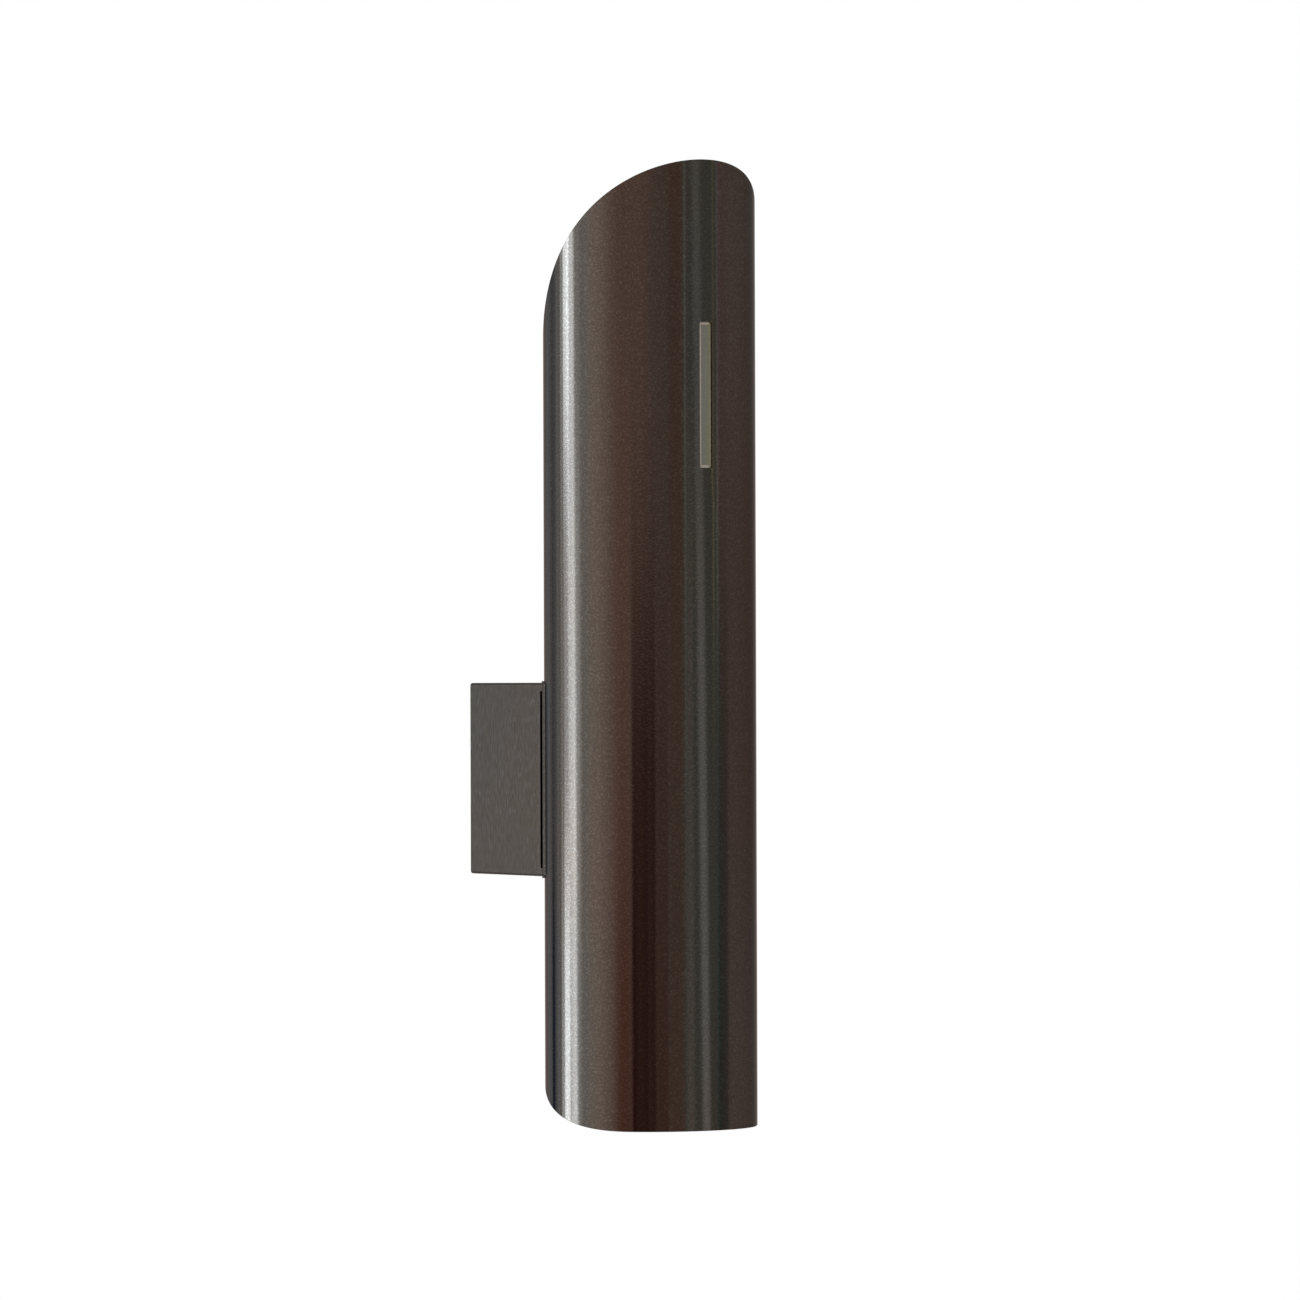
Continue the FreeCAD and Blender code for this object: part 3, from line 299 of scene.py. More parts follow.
def stripFinish():
    material, shader, here = startFinish("frostedStrip", {
        "Roughness": 0.42, "Subsurface Weight": 0.15, "Subsurface Radius": (0.004, 0.003, 0.002),
        "Subsurface Scale": 1.0})
    across, _, up = parts(here)
    frost = grain(here, strip["frost"], 3.0, 0.6)
    smear = grain(here, strip["smear"], 3.0)
    middle = (tube["slotRise"] + tube["slotHeight"] / 2) * mm
    sideHighlight = here.math("ABSOLUTE", across).step(*strip["sideHighlight"])
    endHighlight = here.math("ABSOLUTE", up - middle).step(*strip["endHighlight"])
    core = across.step(*strip["oliveCore"]).mixed(*(colour(*tone) for tone in strip["core"]))
    edgeHighlight = across.step(*strip["oliveHighlight"]).mixed(*(colour(*tone) for tone in strip["edgeHighlight"]))
    # painted highlight along the strip's sides and ends, brightest at the left side
    tint = here.math("MAXIMUM", sideHighlight, endHighlight).mixed(core, edgeHighlight)
    tint = (smear.step(0.35, 0.7) * 0.22).mixed(tint, colour(*strip["smeared"]))
    feed(shader, "Base Color", tint)
    feed(shader, "Roughness", 0.36 + frost * 0.16)
    feedBump(shader, frost, frostDepth)
    return material


lensLook = {
    "tones": ((0.93, 0.93, 0.91), (0.84, 0.85, 0.84)),
    "frost": (900.0, 900.0, 900.0),
}


def lensFinish():
    material, shader, here = startFinish("prismLens", {
        "Roughness": 0.2, "Transmission Weight": 0.55, "IOR": 1.49})
    frost = grain(here, lensLook["frost"], 3.0)
    tint = frost.step(0.3, 0.7).mixed(*(colour(*tone) for tone in lensLook["tones"]))
    feed(shader, "Base Color", tint)
    feed(shader, "Roughness", 0.16 + frost * 0.16)
    feedBump(shader, frost, frostDepth)
    return material


frostedStrip = stripFinish()
prismLens = lensFinish()
print("finishes ready")


# Mesh helpers

def addObject(name, data):
    thing = bpy.data.objects.new(name, data)
    bpy.context.scene.collection.objects.link(thing)
    return thing


def addPiece(name, mesh, finish, body, node):
    mesh.name = name
    piece = addObject(name, mesh)
    mesh.materials.clear()
    mesh.materials.append(finish)
    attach(piece, body)
    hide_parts(node)


def meshOf(form):
    mesh = bpy.data.meshes.new("form")
    form.to_mesh(mesh)
    form.free()
    return mesh


def settled(thing):                            # modifiers turned into a plain mesh
    graph = bpy.context.evaluated_depsgraph_get()
    return bpy.data.meshes.new_from_object(thing.evaluated_get(graph))


def shaded(mesh, angle):                       # smooth, but for edges sharper than the angle
    for face in mesh.polygons:
        face.use_smooth = True
    mesh.set_sharp_from_angle(angle=math.radians(angle))
    return mesh


def softened(mesh, width, segments=2, angle=40.0):
    # rounded edges, with the flats between them kept flat
    thing = addObject("softening", shaded(mesh, angle))
    bevel = thing.modifiers.new("edges", "BEVEL")
    bevel.width = width
    bevel.segments = segments
    bevel.limit_method = "ANGLE"
    bevel.angle_limit = math.radians(angle)
    bevel.use_clamp_overlap = True
    bevel.miter_outer = "MITER_ARC"
    flats = thing.modifiers.new("flats", "WEIGHTED_NORMAL")
    flats.keep_sharp = True
    done = settled(thing)
    bpy.data.objects.remove(thing)
    return done


def mergedCopy(name):                          # the solid's triangles, joined up, with flats dissolved
    form = bmesh.new()
    form.from_mesh(nodes[name].data)
    bmesh.ops.remove_doubles(form, verts=form.verts, dist=samePoint)
    bmesh.ops.dissolve_limit(
        form, angle_limit=math.radians(flatAngle), verts=form.verts, edges=form.edges)
    return meshOf(form)


def turned(profile, steps):
    # a closed or pole-to-pole outline of (radius, height) pairs in mm, turned about Z
    form = bmesh.new()
    rings = []
    for radius, height in profile:
        if radius == 0.0:
            rings.append([form.verts.new((0.0, 0.0, height * mm))])
            continue
        ring = []
        for index in range(steps):
            turn = 2 * math.pi * index / steps
            spot = (radius * mm * math.cos(turn), radius * mm * math.sin(turn), height * mm)
            ring.append(form.verts.new(spot))
        rings.append(ring)
    pairs = list(zip(rings, rings[1:]))
    if len(rings[0]) > 1:
        pairs.append((rings[-1], rings[0]))
    for first, second in pairs:
        for index in range(steps):
            after = (index + 1) % steps
            corners = [first[index % len(first)], first[after % len(first)],
                       second[after % len(second)], second[index % len(second)]]
            form.faces.new(list(dict.fromkeys(corners)))
    bmesh.ops.recalc_face_normals(form, faces=form.faces)
    return meshOf(form)


# Geometry trees: what repeats is one form set on points

def startTree(name, inputs):
    tree = bpy.data.node_groups.new(name, "GeometryNodeTree")
    tree.interface.new_socket("Geometry", in_out="OUTPUT", socket_type="NodeSocketGeometry")
    tree.interface.new_socket("Geometry", in_out="INPUT", socket_type="NodeSocketGeometry")
    for label, kind in inputs.items():
        tree.interface.new_socket(label, in_out="INPUT", socket_type=f"NodeSocket{kind}")
    entry = tree.nodes.new("NodeGroupInput")
    return {label: Wire(tree, entry.outputs[label]) for label in ("Geometry", *inputs)}


def joined(*forms):
    tree = forms[0].tree
    join = tree.nodes.new("GeometryNodeJoinGeometry")
    for form in forms:
        tree.links.new(form.socket, join.inputs[0])
    return Wire(tree, join.outputs[0])


def endTree(form, finish):
    tree = form.tree
    solid = form.node("GeometryNodeRealizeInstances", values={"Geometry": form})
    done = solid.node("GeometryNodeSetMaterial", values={"Geometry": solid, "Material": finish})
    leave = tree.nodes.new("NodeGroupOutput")
    tree.links.new(done.socket, leave.inputs["Geometry"])
    return tree


def grown(tree, values, mesh=None):            # the tree's mesh, with its named inputs set
    thing = addObject("growing", mesh or bpy.data.meshes.new("empty"))
    grower = thing.modifiers.new("grower", "NODES")
    grower.node_group = tree
    sockets = {item.name: item.identifier for item in tree.interface.items_tree if item.in_out == "INPUT"}
    for label, value in values.items():
        grower[sockets[label]] = value
    done = settled(thing)
    bpy.data.objects.remove(thing)
    return done


def makeScrewTree(name, finish):
    given = startTree(name, {
        "Count": "Int", "First": "Vector", "Step": "Vector", "Turn": "Vector", "Turn Step": "Vector",
        "Head Radius": "Float", "Head Foot": "Float", "Head Height": "Float", "Shank Radius": "Float",
        "Shank Length": "Float", "Drive Radius": "Float", "Drive Depth": "Float"})
    wire = given["Head Radius"]

    def lifted(form, up):
        height = wire.node("ShaderNodeCombineXYZ", values={"Z": up})
        return wire.node("GeometryNodeTransform", values={"Geometry": form, "Translation": height})

    # each form stands on its own foot once it is lifted, with the head's underside at zero
    head = wire.node("GeometryNodeMeshCone", values={
        "Vertices": 36, "Radius Top": given["Head Radius"], "Radius Bottom": given["Head Foot"],
        "Depth": given["Head Height"]})
    shank = wire.node("GeometryNodeMeshCylinder", values={
        "Vertices": 24, "Radius": given["Shank Radius"], "Depth": given["Shank Length"]})
    drive = wire.node("GeometryNodeMeshCylinder", values={
        "Vertices": 6, "Radius": given["Drive Radius"], "Depth": given["Drive Depth"] * 2.0})
    cut = wire.node("GeometryNodeMeshBoolean", {"operation": "DIFFERENCE"}, {
        "Mesh 1": head, "Mesh 2": lifted(drive, given["Head Height"])}, "Mesh")
    screw = joined(cut, lifted(shank, given["Shank Length"] * -0.5))
    spots = wire.node("GeometryNodeMeshLine", {"mode": "OFFSET"}, {
        "Count": given["Count"], "Start Location": given["First"], "Offset": given["Step"]})
    index = wire.node("GeometryNodeInputIndex")
    extra = wire.node("ShaderNodeVectorMath", {"operation": "SCALE"}, {
        0: given["Turn Step"], "Scale": index})
    turn = wire.node("ShaderNodeVectorMath", {"operation": "ADD"}, {0: given["Turn"], 1: extra})
    turn = wire.node("FunctionNodeEulerToRotation", values={0: turn})
    row = wire.node("GeometryNodeInstanceOnPoints", values={
        "Points": spots, "Instance": screw, "Rotation": turn})
    return endTree(row, finish)


def makeFinTree(finish):
    # upright plates round an axis: each runs out from the root to a flank that flares and bows
    given = startTree("fins", {
        "Count": "Int", "Root": "Float", "Low": "Float", "High": "Float", "Low Reach": "Float",
        "High Reach": "Float", "Bow": "Float", "Sheet": "Float", "Taper": "Float"})
    wire = given["Root"]
    plate = wire.node("GeometryNodeMeshCube", values={
        "Size": (1.0, 1.0, 1.0), "Vertices X": 5, "Vertices Y": 2, "Vertices Z": 9})
    across, side, up = parts(wire.node("GeometryNodeInputPosition"))
    out = across + 0.5
    rise = up + 0.5
    flank = (given["Low Reach"] + (given["High Reach"] - given["Low Reach"]) * rise
             + wire.math("SINE", rise * math.pi) * given["Bow"])
    shape = wire.node("ShaderNodeCombineXYZ", values={
        "X": given["Root"] + (flank - given["Root"]) * out,
        "Y": side * given["Sheet"] * (1.0 - out * given["Taper"]),
        "Z": given["Low"] + (given["High"] - given["Low"]) * rise})
    fin = wire.node("GeometryNodeSetPosition", values={"Geometry": plate, "Position": shape})
    spots = wire.node("GeometryNodeMeshLine", {"mode": "OFFSET"}, {
        "Count": given["Count"], "Offset": (0.0, 0.0, 0.0)})
    angle = wire.node("GeometryNodeInputIndex") * (2.0 * math.pi) / given["Count"]
    turn = wire.node("FunctionNodeEulerToRotation", values={
        0: wire.node("ShaderNodeCombineXYZ", values={"Z": angle})})
    ring = wire.node("GeometryNodeInstanceOnPoints", values={
        "Points": spots, "Instance": fin, "Rotation": turn})
    return endTree(joined(given["Geometry"], ring), finish)


def makeLensTree(finish):
    # a round lens whose front rises in rings; the sheet of points is wrapped round its own axis
    given = startTree("lens", {
        "Radius": "Float", "Front": "Float", "Sheet": "Float", "Rings": "Float", "Ripple": "Float",
        "Crown": "Float"})
    wire = given["Radius"]
    sheet = wire.node("GeometryNodeMeshGrid", values={
        "Size X": 1.0, "Size Y": 1.0, "Vertices X": 97, "Vertices Y": 151})
    along, down, _ = parts(wire.node("GeometryNodeInputPosition"))
    angle = (along + 0.5) * (2.0 * math.pi)
    # down the sheet, the first share is the front from its middle out, then comes the edge, and as much
    # again is the back from its edge in
    front, edge = 0.8, 0.1
    share = down + 0.5
    inFront = wire.math("MINIMUM", share / front, 1.0)
    inBack = wire.math("MINIMUM", (1.0 - share) / edge, 1.0)
    radius = given["Radius"] * wire.math("MINIMUM", inFront, inBack)
    onEdge = wire.math("MAXIMUM", wire.math("MINIMUM", (share - front) / edge, 1.0), 0.0)
    wave = 1.0 - wire.math("ABSOLUTE", wire.math("SINE", inFront * given["Rings"] * math.pi))
    swell = (1.0 - inFront * inFront) * given["Crown"] - wave * given["Ripple"] * (1.0 - onEdge)
    rise = given["Front"] + swell - onEdge * given["Sheet"]
    shape = wire.node("ShaderNodeCombineXYZ", values={
        "X": radius * wire.math("COSINE", angle), "Y": radius * wire.math("SINE", angle), "Z": rise})
    form = wire.node("GeometryNodeSetPosition", values={"Geometry": sheet, "Position": shape})
    form = wire.node("GeometryNodeMergeByDistance", values={"Geometry": form, "Distance": samePoint})
    return endTree(form, finish)


# Tube

def tubeTop(depth):                            # the upper cut's height at a depth behind the axis
    start = math.radians(tube["cutAngle"])
    bend = tube["cutRadius"]
    run = min(depth + tube["radius"], tube["cutDepth"])
    tilt = math.asin(math.sin(start) + run / bend)
    rise = tube["rise"] - bend * (math.cos(start) - math.cos(tilt))
    return rise - max(depth + tube["radius"] - tube["cutDepth"], 0.0) * math.tan(tilt)


def tubeBottom(depth):                         # the lower cut: flat in front, then swept up
    run = max(depth + tube["radius"] - tube["flatDepth"], 0.0)
    return -tube["drop"] + tube["sweepRadius"] - math.sqrt(tube["sweepRadius"] ** 2 - run ** 2)


def slotSide(index, count, start, end):
    # one point of a side of the slot: where along it, and how far in from it
    sign = 1.0 if end > start else -1.0
    corner, steps = tube["slotCorner"], tube["cornerSteps"]
    if index < steps:                          # the second half of the corner's arc
        angle = math.radians(tube["cornerStep"] * (steps - index))
        return start + sign * corner * (1 - math.sin(angle)), corner * (1 - math.cos(angle))
    if index == count - 1:
        angle = math.radians(tube["cornerStep"])
        return end - sign * corner * (1 - math.sin(angle)), corner * (1 - math.cos(angle))
    share = (index - steps) / (count - 2 * steps)
    return start + sign * corner + (end - start - 2 * sign * corner) * share, 0.0


def slotLoop(across, down):
    # as many points round the slot as the window has: bottom, right, top and left
    half = tube["slotWidth"] / 2
    low = tube["slotRise"]
    high = low + tube["slotHeight"]
    sides = (
        (across, -half, half, lambda along, inset: (along, low + inset)),
        (down, low, high, lambda along, inset: (half - inset, along)),
        (across, half, -half, lambda along, inset: (along, high - inset)),
        (down, high, low, lambda along, inset: (-half + inset, along)),
    )
    return [spot(*slotSide(index, count, start, end))
            for count, start, end, spot in sides for index in range(count)]


def onTube(radius, across, up):
    return Vector((across * mm, -(tube["reach"] + math.sqrt(radius ** 2 - across ** 2)) * mm, up * mm))


def tubeGrid(form, radius):                    # columns of points round the axis, each from low to high
    grid = []
    for column in range(tube["columns"]):
        turn = 2 * math.pi * column / tube["columns"]
        depth = -radius * math.cos(turn)
        low, high = tubeBottom(depth), tubeTop(depth)
        across, away = radius * math.sin(turn) * mm, (depth - tube["reach"]) * mm
        grid.append([form.verts.new((across, away, (low + (high - low) * row / tube["rows"]) * mm))
                     for row in range(tube["rows"] + 1)])
    return grid


def tubeSkin(form, radius, grid):              # the grid's faces round the slot; it returns the slot's edge
    columns, spread = tube["columns"], tube["windowColumns"]
    lowRow, highRow = tube["windowRows"]
    for column in range(columns):
        beside = grid[(column + 1) % columns]
        offset = (column + columns // 2) % columns - columns // 2
        for row in range(tube["rows"]):
            if -spread <= offset < spread and lowRow <= row < highRow:
                continue
            form.faces.new((grid[column][row], beside[row], beside[row + 1], grid[column][row + 1]))
    window = [grid[index][lowRow] for index in range(-spread, spread)]
    window += [grid[spread][row] for row in range(lowRow, highRow)]
    window += [grid[index][highRow] for index in range(spread, -spread, -1)]
    window += [grid[-spread][row] for row in range(highRow, lowRow, -1)]
    edge = [form.verts.new(onTube(radius, *spot)) for spot in slotLoop(2 * spread, highRow - lowRow)]
    for index, vert in enumerate(window):
        after = (index + 1) % len(window)
        form.faces.new((vert, window[after], edge[after], edge[index]))
    return edge


def makeTubeShell():
    form = bmesh.new()
    radii = (tube["radius"], tube["radius"] - tube["wall"])
    outer, inner = (tubeGrid(form, radius) for radius in radii)
    outerEdge, innerEdge = (tubeSkin(form, radius, grid) for radius, grid in zip(radii, (outer, inner)))
    for column in range(tube["columns"]):
        beside = (column + 1) % tube["columns"]
        for row in (0, tube["rows"]):
            form.faces.new((outer[column][row], outer[beside][row], inner[beside][row], inner[column][row]))
    for index in range(len(outerEdge)):
        after = (index + 1) % len(outerEdge)
        form.faces.new((outerEdge[index], outerEdge[after], innerEdge[after], innerEdge[index]))
    bmesh.ops.recalc_face_normals(form, faces=form.faces)
    mesh = softened(meshOf(form), tube["edge"] * mm, 2, 50.0)
    addPiece("tubeShell", mesh, tubeFinish, "fixture", "tube_shell")


makeTubeShell()
print("tube shell made")


# Slot strip

def makeSlotStrip():
    mesh = softened(mergedCopy("slot_diffuser"), strip["edge"] * mm, 3)
    addPiece("slotStrip", mesh, frostedStrip, "fixture", "slot_diffuser")


makeSlotStrip()
print("slot strip made")


# Pieces that keep the solid's form, with joined faces and softened edges

softPieces = {                                 # a piece's name, its finish and its edges' rounding
    "saddle_plate": ("saddlePlate", saddleFinish, 0.1),
    "wall_box": ("wallBox", boxFinish, 0.15),
    "lamp_carrier": ("lampCarrier", zincFinish, 0.1),
    "box_bridge": ("boxBridge", steelFinish, 0.1),
    "wall_plate": ("wallPlate", zincFinish, 0.1),
    "clamp_block": ("clampBlock", aluminiumFinish, 0.15),
    "upper_holder": ("upperHolder", ceramicFinish, 0.2),
    "lower_holder": ("lowerHolder", ceramicFinish, 0.2),
    "terminal_block": ("terminalBlock", terminalFinish, 0.12),
}

for node, (name, finish, width) in softPieces.items():
    addPiece(name, softened(mergedCopy(node), width * mm), finish, "fixture", node)

print("sheet, box and holder pieces made")


# Screws: a screw stands with its head up, the underside of the head at zero. Its head has a radius on
# top, one at its foot and a height, its shank a radius and a length, its drive a radius and a depth.

screwEdge = 0.08                               # its edges' rounding

holderScrew = {
    "finish": screwFinish, "count": 2, "step": (0.0, 21.0, 0.0), "turnStep": (0.0, 0.0, 0.0),
    "head": (2.6, 2.75, 2.0), "shank": (1.5, 7.0), "drive": (1.4, 1.0),
}

screws = {
    "boxScrews": {
        "node": "box_screws", "finish": darkScrewFinish, "count": 2, "first": (0.0, -9.0, 38.75),
        "step": (0.0, 0.0, -77.5), "turn": (0.0, 0.0, 0.0), "turnStep": (180.0, 0.0, 0.0),
        "head": (3.75, 2.0, 1.7), "shank": (2.0, 6.2), "drive": (1.44, 1.5)},
    "clampScrews": {
        "node": "clamp_screws", "finish": screwFinish, "count": 2, "first": (0.0, -31.55, 18.0),
        "step": (0.0, 0.0, -36.0), "turn": (-90.0, 0.0, 0.0), "turnStep": (0.0, 0.0, 0.0),
        "head": (4.6, 4.75, 3.7), "shank": (2.5, 20.0), "drive": (2.31, 1.9)},
    "upperHolderScrews": {
        **holderScrew, "node": "upper_holder_screws", "first": (0.0, -90.5, 45.2),
        "turn": (180.0, 0.0, 0.0)},
    "lowerHolderScrews": {
        **holderScrew, "node": "lower_holder_screws", "first": (0.0, -90.5, -28.2),
        "turn": (0.0, 0.0, 0.0)},
    "terminalScrew": {
        "node": "terminal_fixing_screws", "finish": screwFinish, "count": 1, "first": (0.0, -7.0, -21.5),
        "step": (0.0, 0.0, 0.0), "turn": (90.0, 0.0, 0.0), "turnStep": (0.0, 0.0, 0.0),
        "head": (1.85, 2.0, 1.8), "shank": (1.25, 6.7), "drive": (1.1, 0.9)},
    "earthScrew": {
        "node": "earth_screw", "finish": brassFinish, "count": 1, "first": (27.0, -3.0, -21.5),
        "step": (0.0, 0.0, 0.0), "turn": (90.0, 0.0, 0.0), "turnStep": (0.0, 0.0, 0.0),
        "head": (3.85, 4.0, 2.8), "shank": (2.0, 2.7), "drive": (1.85, 1.4)},
}


for name, screw in screws.items():
    headRadius, headFoot, headHeight = scaled(screw["head"], mm)
    shankRadius, shankLength = scaled(screw["shank"], mm)
    driveRadius, driveDepth = scaled(screw["drive"], mm)
    mesh = grown(makeScrewTree(name, screw["finish"]), {
        "Count": screw["count"], "First": scaled(screw["first"], mm), "Step": scaled(screw["step"], mm),
        "Turn": scaled(screw["turn"], math.radians(1.0)),
        "Turn Step": scaled(screw["turnStep"], math.radians(1.0)),
        "Head Radius": headRadius, "Head Foot": headFoot, "Head Height": headHeight,
        "Shank Radius": shankRadius, "Shank Length": shankLength,
        "Drive Radius": driveRadius, "Drive Depth": driveDepth})
    addPiece(name, softened(mesh, screwEdge * mm), screw["finish"], "fixture", screw["node"])

print("screws made")


# Lamps: twist-lock reflector lamps, drawn from the base up along Z

lamp = {
    "ends": (("upper", 63.0, 0.0), ("lower", -46.0, 180.0)),   # a lamp's foot, and its turn about Y
    "axis": -80.0,
    "base": [(0.0, 0.0), (9.0, 0.0), (10.0, 1.0), (10.0, 4.2), (9.6, 4.6), (9.6, 5.4), (10.0, 5.8),
             (10.0, 10.0), (14.0, 12.0), (14.0, 13.0), (0.0, 13.0)],
    "core": [(0.0, 13.0), (15.5, 13.0), (15.5, 15.0), (13.5, 15.4), (13.5, 40.6), (14.4, 41.0),
             (22.5, 41.0), (24.0, 46.5), (24.0, 49.0), (22.2, 49.0), (16.0, 45.4), (0.0, 45.0)],
    "ring": [(22.6, 49.0), (25.0, 49.0), (25.0, 50.2), (24.7, 50.5), (25.0, 50.8), (25.0, 52.8),
             (23.8, 54.0), (22.9, 54.0), (22.6, 53.4)],
    "fins": {"Count": 12, "Root": 12.8, "Low": 14.9, "High": 41.1, "Low Reach": 15.5, "High Reach": 22.4,
             "Bow": 0.15, "Sheet": 2.0, "Taper": 0.25},
    "lens": {"Radius": 22.5, "Front": 52.1, "Sheet": 3.1, "Rings": 14.0, "Ripple": 0.22, "Crown": 0.35},
    "bare": ("Count", "Rings", "Taper"),       # numbers that aren't lengths
    # the edges' rounding, and the degrees from which a corner is an edge
    "edges": {"base": (0.25, 40.0), "housing": (0.2, 40.0), "ring": (0.12, 30.0)},
    "steps": 96,
}

finTree = makeFinTree(lampMetalFinish)
lensTree = makeLensTree(prismLens)


def lampSizes(part):
    return {label: value if label in lamp["bare"] else value * mm for label, value in lamp[part].items()}


def lampSoftened(mesh, part):
    width, angle = lamp["edges"][part]
    return softened(mesh, width * mm, 2, angle)


for end, rise, flip in lamp["ends"]:
    body = f"{end}_lamp"
    stand = Matrix.Translation((0.0, lamp["axis"] * mm, rise * mm))
    stand = stand @ Matrix.Rotation(math.radians(flip), 4, "Y")
    base, core, ring = (turned(lamp[part], lamp["steps"]) for part in ("base", "core", "ring"))
    forms = {
        "base": (lampSoftened(base, "base"), lampPlasticFinish),
        "housing": (lampSoftened(grown(finTree, lampSizes("fins"), core), "housing"), lampMetalFinish),
        "ring": (lampSoftened(ring, "ring"), lampPlasticFinish),
        "lens": (shaded(grown(lensTree, lampSizes("lens")), 60.0), prismLens),
    }
    for part, (mesh, finish) in forms.items():
        mesh.transform(stand)
        addPiece(f"{end}Lamp{part.title()}", mesh, finish, body, f"{body}_{part}")

print("lamps made")


# Pieces that show as the solids themselves

finishOf = {
    "tube_finish": tubeFinish, "box_finish": boxFinish, "frosted_strip": frostedStrip,
    "sheet_steel": steelFinish, "bright_steel": screwFinish, "zinc_plate": zincFinish,
    "dark_screw": darkScrewFinish, "black_rubber": rubberFinish, "black_nylon": nylonFinish,
    "terminal_plastic": terminalFinish, "brass": brassFinish, "bare_aluminium": aluminiumFinish,
    "ceramic": ceramicFinish, "lamp_plastic": lampPlasticFinish, "lamp_metal": lampMetalFinish,
    "lamp_lens": prismLens,
}

for name, node in nodes.items():
    for held in node.material_slots:
        held.material = finishOf[slotOf[name]]

print("plain pieces finished")


# Studio

# A band of the room, seen in the metal: its middle, half width and soft edge in degrees from the front,
# and the light that it adds. Its shares are for reflections that look well down, a little down, a little
# up and well up. Its lean is how far its middle moves for each degree up. Places are in metres.
studio = {
    "plain": 0.80,                             # what lights matt surfaces
    "ambient": (0.42, 0.35, 0.32),
    "least": 0.04,
    "bands": [
        {"middle": -135.4, "half": 4.8, "soft": 3.5, "add": (5.8, 7.3, 8.3),
         "shares": (1.15, 0.24, 0.24, 1.0)},
        {"middle": -126.2, "half": 5.2, "soft": 5.0, "add": (3.6, 4.5, 5.1), "lean": -0.5},
        {"middle": -119.0, "half": 5.0, "soft": 8.0, "add": (1.0, 1.25, 1.4),
         "shares": (0.6, 1.2, 1.0, 0.3)},
        {"middle": -108.0, "half": 26.0, "soft": 44.0, "add": (0.58, 0.64, 0.63)},
        {"middle": -66.0, "half": 34.0, "soft": 24.0, "add": (0.18, 0.11, 0.08)},
        {"middle": -39.5, "half": 12.5, "soft": 4.0, "add": (-0.29, -0.27, -0.24),
         "shares": (1.1, 1.12, 0.1, 0.0)},
        {"middle": -43.5, "half": 8.5, "soft": 3.0, "add": (-0.09, -0.06, -0.05),
         "shares": (1.1, 1.0, 0.1, 0.0)},
        {"middle": -20.0, "half": 7.0, "soft": 5.0, "add": (-0.12, -0.16, -0.16),
         "shares": (1.0, 0.8, 0.0, 0.0)},
        {"middle": -61.0, "half": 10.0, "soft": 12.0, "add": (-0.20, -0.21, -0.21),
         "shares": (1.0, 0.0, 0.0, 0.0)},
        {"middle": -110.0, "half": 9.0, "soft": 8.0, "add": (-0.04, 0.06, 0.09)},
        {"middle": -64.0, "half": 9.0, "soft": 8.0, "add": (0.04, -0.03, -0.03),
         "shares": (0.8, 1.1, 1.0, 0.0)},
        {"middle": -4.0, "half": 8.0, "soft": 8.0, "add": (-0.05, -0.07, -0.08)},
        {"middle": 27.0, "half": 22.0, "soft": 3.0, "add": (-0.13, -0.01, 0.0)},
        {"middle": 12.0, "half": 4.0, "soft": 5.0, "add": (0.20, 0.17, 0.16),
         "shares": (1.0, 0.75, 0.5, 0.0)},
        {"middle": 25.5, "half": 4.5, "soft": 5.0, "add": (0.48, 0.54, 0.60),
         "shares": (1.0, 0.9, 0.6, 0.4), "lean": -1.4},
        {"middle": 7.0, "half": 0.9, "soft": 1.0, "add": (0.30, 0.34, 0.34),
         "shares": (0.2, 0.6, 1.0, 1.0)},
        {"middle": 41.5, "half": 1.0, "soft": 1.0, "add": (0.60, 0.64, 0.26),
         "shares": (0.0, 0.0, 1.0, 0.3)},
        {"middle": 47.0, "half": 1.2, "soft": 1.0, "add": (0.46, 0.54, 0.54),
         "shares": (0.0, 0.1, 1.0, 0.4)},
        {"middle": 49.5, "half": 1.0, "soft": 1.0, "add": (0.16, 0.02, 0.26),
         "shares": (0.0, 0.0, 0.0, 1.0)},
        {"middle": 92.0, "half": 34.0, "soft": 24.0, "add": (0.04, 0.08, 0.10),
         "shares": (0.8, 0.0, 0.0, 0.8)},
        {"middle": 54.0, "half": 7.0, "soft": 6.0, "add": (-0.17, -0.11, -0.09),
         "shares": (1.4, 1.0, 0.0, 0.0)},
        {"middle": -166.0, "half": 16.0, "soft": 8.0, "add": (0.10, 0.25, 0.34)},
        {"middle": -164.0, "half": 3.0, "soft": 2.0, "add": (-0.50, -0.52, -0.42),
         "shares": (1.0, 0.2, 0.1, 0.1)},
        {"middle": -149.0, "half": 6.0, "soft": 5.0, "add": (0.34, 0.46, 0.50)},
        {"middle": -178.0, "half": 9.0, "soft": 10.0, "add": (0.22, 0.24, 0.26)},
        {"middle": -143.5, "half": 1.8, "soft": 2.0, "add": (1.3, 1.7, 1.9),
         "shares": (1.4, 0.5, 0.5, 1.0)},
    ],
    "shareTurns": ((-2.2, -1.2), (0.0, 1.1), (1.2, 2.4)),   # degrees up, between one share and the next
    "floor": -1.6,
    "floorRadius": 3.0,
    "floorTones": ((0.80, 0.80, 0.79), (0.74, 0.74, 0.735)),
    "lamps": (                                 # place, aim, size and power
        ("softKey", (-1.6, -2.2, 1.8), (0.0, -0.08, 0.05), (1.6, 1.6), 22.0),
        ("softFill", (2.2, -1.4, 0.9), (0.0, -0.08, 0.05), (1.6, 1.6), 9.0),
        ("softTop", (0.0, 0.2, 2.4), (0.0, -0.08, 0.0), (2.0, 2.0), 10.0),
    ),
}


def bandShare(lift, shares):
    share = shares[0]
    for (low, high), before, after in zip(studio["shareTurns"], shares, shares[1:]):
        if after != before:
            share = lift.step(low, high) * (after - before) + share
    return share


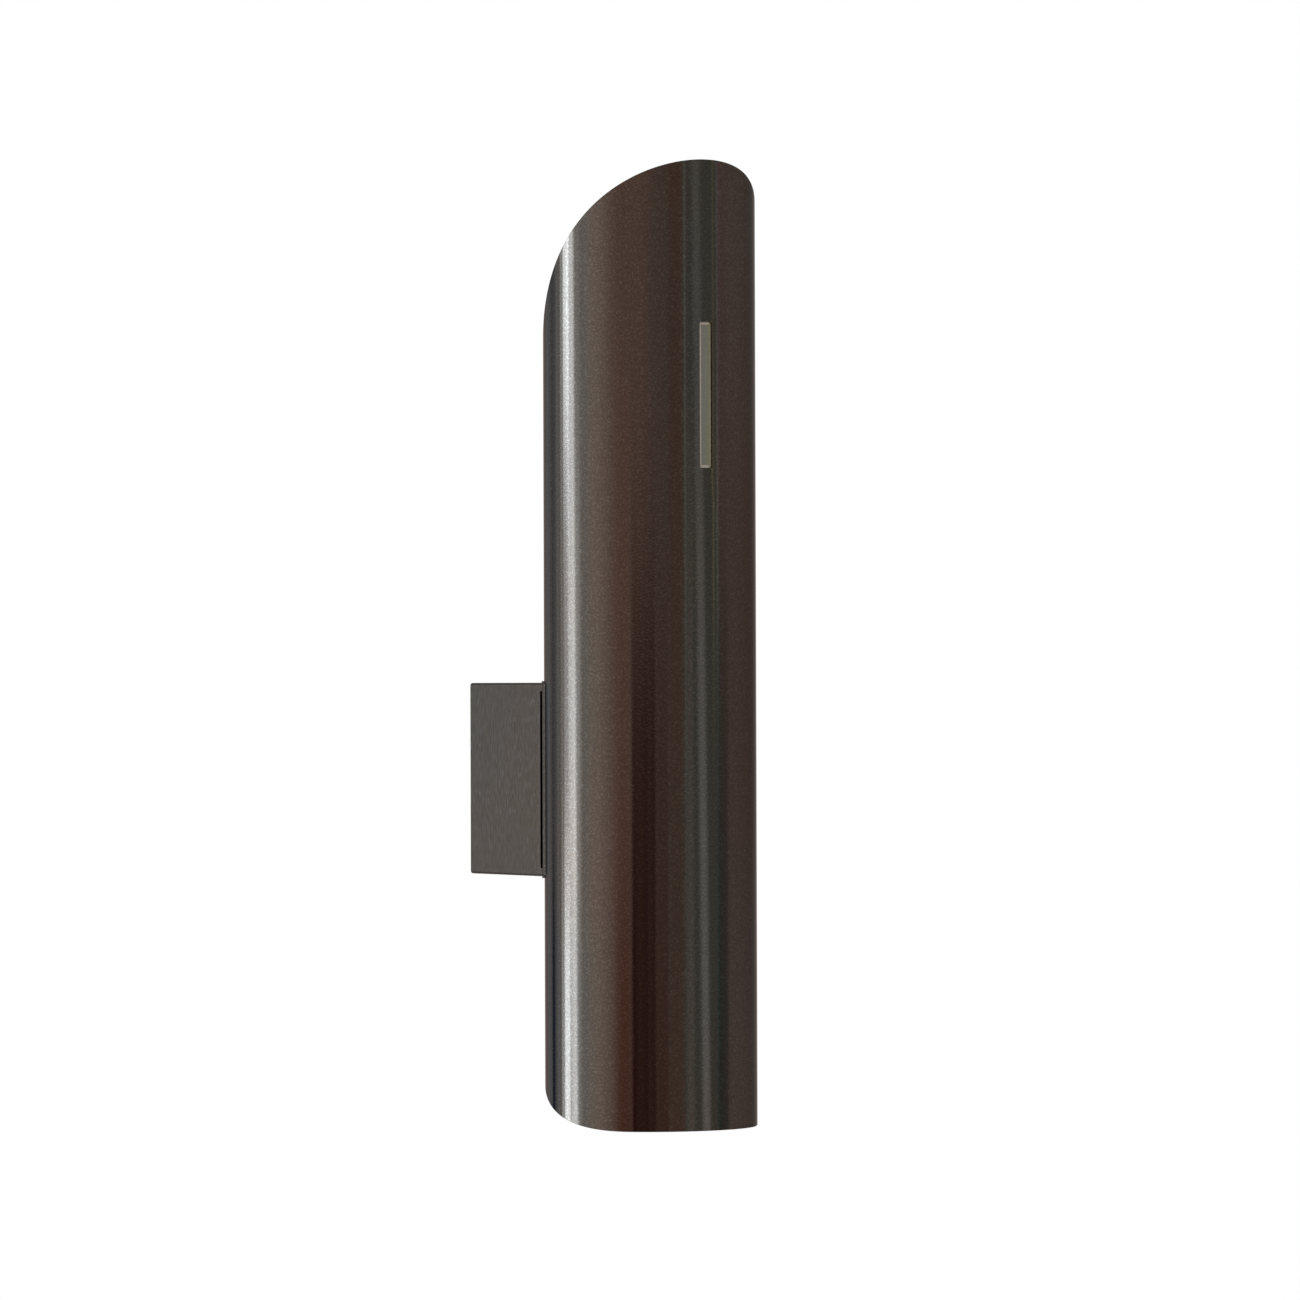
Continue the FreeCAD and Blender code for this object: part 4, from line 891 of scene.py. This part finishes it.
def makeWorld():
    world = bpy.data.worlds.new("softRoom")
    bpy.context.scene.world = world
    world.use_nodes = True
    world.cycles.sampling_method = "NONE"
    paint = Wire(world.node_tree)
    toward = paint.node("ShaderNodeTexCoord", out="Generated")
    across, away, up = parts(toward)
    turn = paint.math("ARCTAN2", across, -away) * math.degrees(1.0)
    lift = paint.math("ARCSINE", up) * math.degrees(1.0)
    channels = list(studio["ambient"])
    for band in studio["bands"]:
        middle = lift * band["lean"] + band["middle"] if "lean" in band else band["middle"]
        offset = paint.math("ABSOLUTE", paint.math("WRAP", turn - middle, 180.0, -180.0))
        inside = 1.0 - offset.step(band["half"] - band["soft"] / 2, band["half"] + band["soft"] / 2)
        if "shares" in band:
            inside = inside * bandShare(lift, band["shares"])
        channels = [inside * add + channel for channel, add in zip(channels, band["add"])]
    channels = [paint.math("MAXIMUM", channel, studio["least"]) for channel in channels]
    glossy = paint.node("ShaderNodeCombineColor", values=dict(enumerate(channels)))
    isCamera = paint.node("ShaderNodeLightPath", out="Is Camera Ray")
    isClear = isCamera.beside("Is Transmission Ray")
    light = isCamera.beside("Is Glossy Ray").mixed(colour(*[studio["plain"]] * 3), glossy)
    light = paint.math("MAXIMUM", isCamera, isClear).mixed(light, colour(1.0, 1.0, 1.0))
    background = world.node_tree.nodes["Background"]
    world.node_tree.links.new(light.socket, background.inputs["Color"])


def makeFloor():
    form = bmesh.new()
    bmesh.ops.create_circle(form, cap_ends=True, segments=96, radius=studio["floorRadius"])
    bmesh.ops.translate(form, verts=form.verts, vec=(0.0, 0.0, studio["floor"]))
    floor = addObject("paleFloor", meshOf(form))
    material, shader, here = startFinish("paleFloor", {"Roughness": 0.7})
    patch = grain(here, (1.4, 1.4, 1.4), 4.0)
    feed(shader, "Base Color", patch.mixed(*(colour(*tone) for tone in studio["floorTones"])))
    floor.data.materials.append(material)


def addLamp(name, place, aim, size, power):
    light = bpy.data.lights.new(name, "AREA")
    light.shape = "RECTANGLE"
    light.size, light.size_y = size
    light.energy = power
    thing = addObject(name, light)
    thing.location = place
    thing.rotation_euler = (Vector(aim) - Vector(place)).to_track_quat("-Z", "Y").to_euler()
    thing.visible_camera = False
    thing.visible_glossy = False


# The photograph's view: a long lens, left of the front and nearly level. Lens and film are in
# millimetres, distance and rise in metres, and turns in degrees.
view = {
    "lens": 199.8, "film": 36.0, "turn": -32.0, "distance": 3.0226, "rise": 0.0441, "tilt": 90.19,
    "roll": -0.175,
}


def makeCamera():
    lens = bpy.data.cameras.new("view")
    lens.lens = view["lens"]
    lens.sensor_width = view["film"]
    camera = addObject("view", lens)
    turn, distance = math.radians(view["turn"]), view["distance"]
    camera.location = (
        distance * math.sin(turn), -tube["reach"] * mm - distance * math.cos(turn), view["rise"])
    aim = Matrix.Rotation(turn, 4, "Z") @ Matrix.Rotation(math.radians(view["tilt"]), 4, "X")
    camera.rotation_euler = (aim @ Matrix.Rotation(math.radians(view["roll"]), 4, "Z")).to_euler()
    bpy.context.scene.camera = camera


makeWorld()
makeFloor()
for softLamp in studio["lamps"]:
    addLamp(*softLamp)
makeCamera()
bpy.context.scene.view_settings.view_transform = "Standard"
print("studio ready")
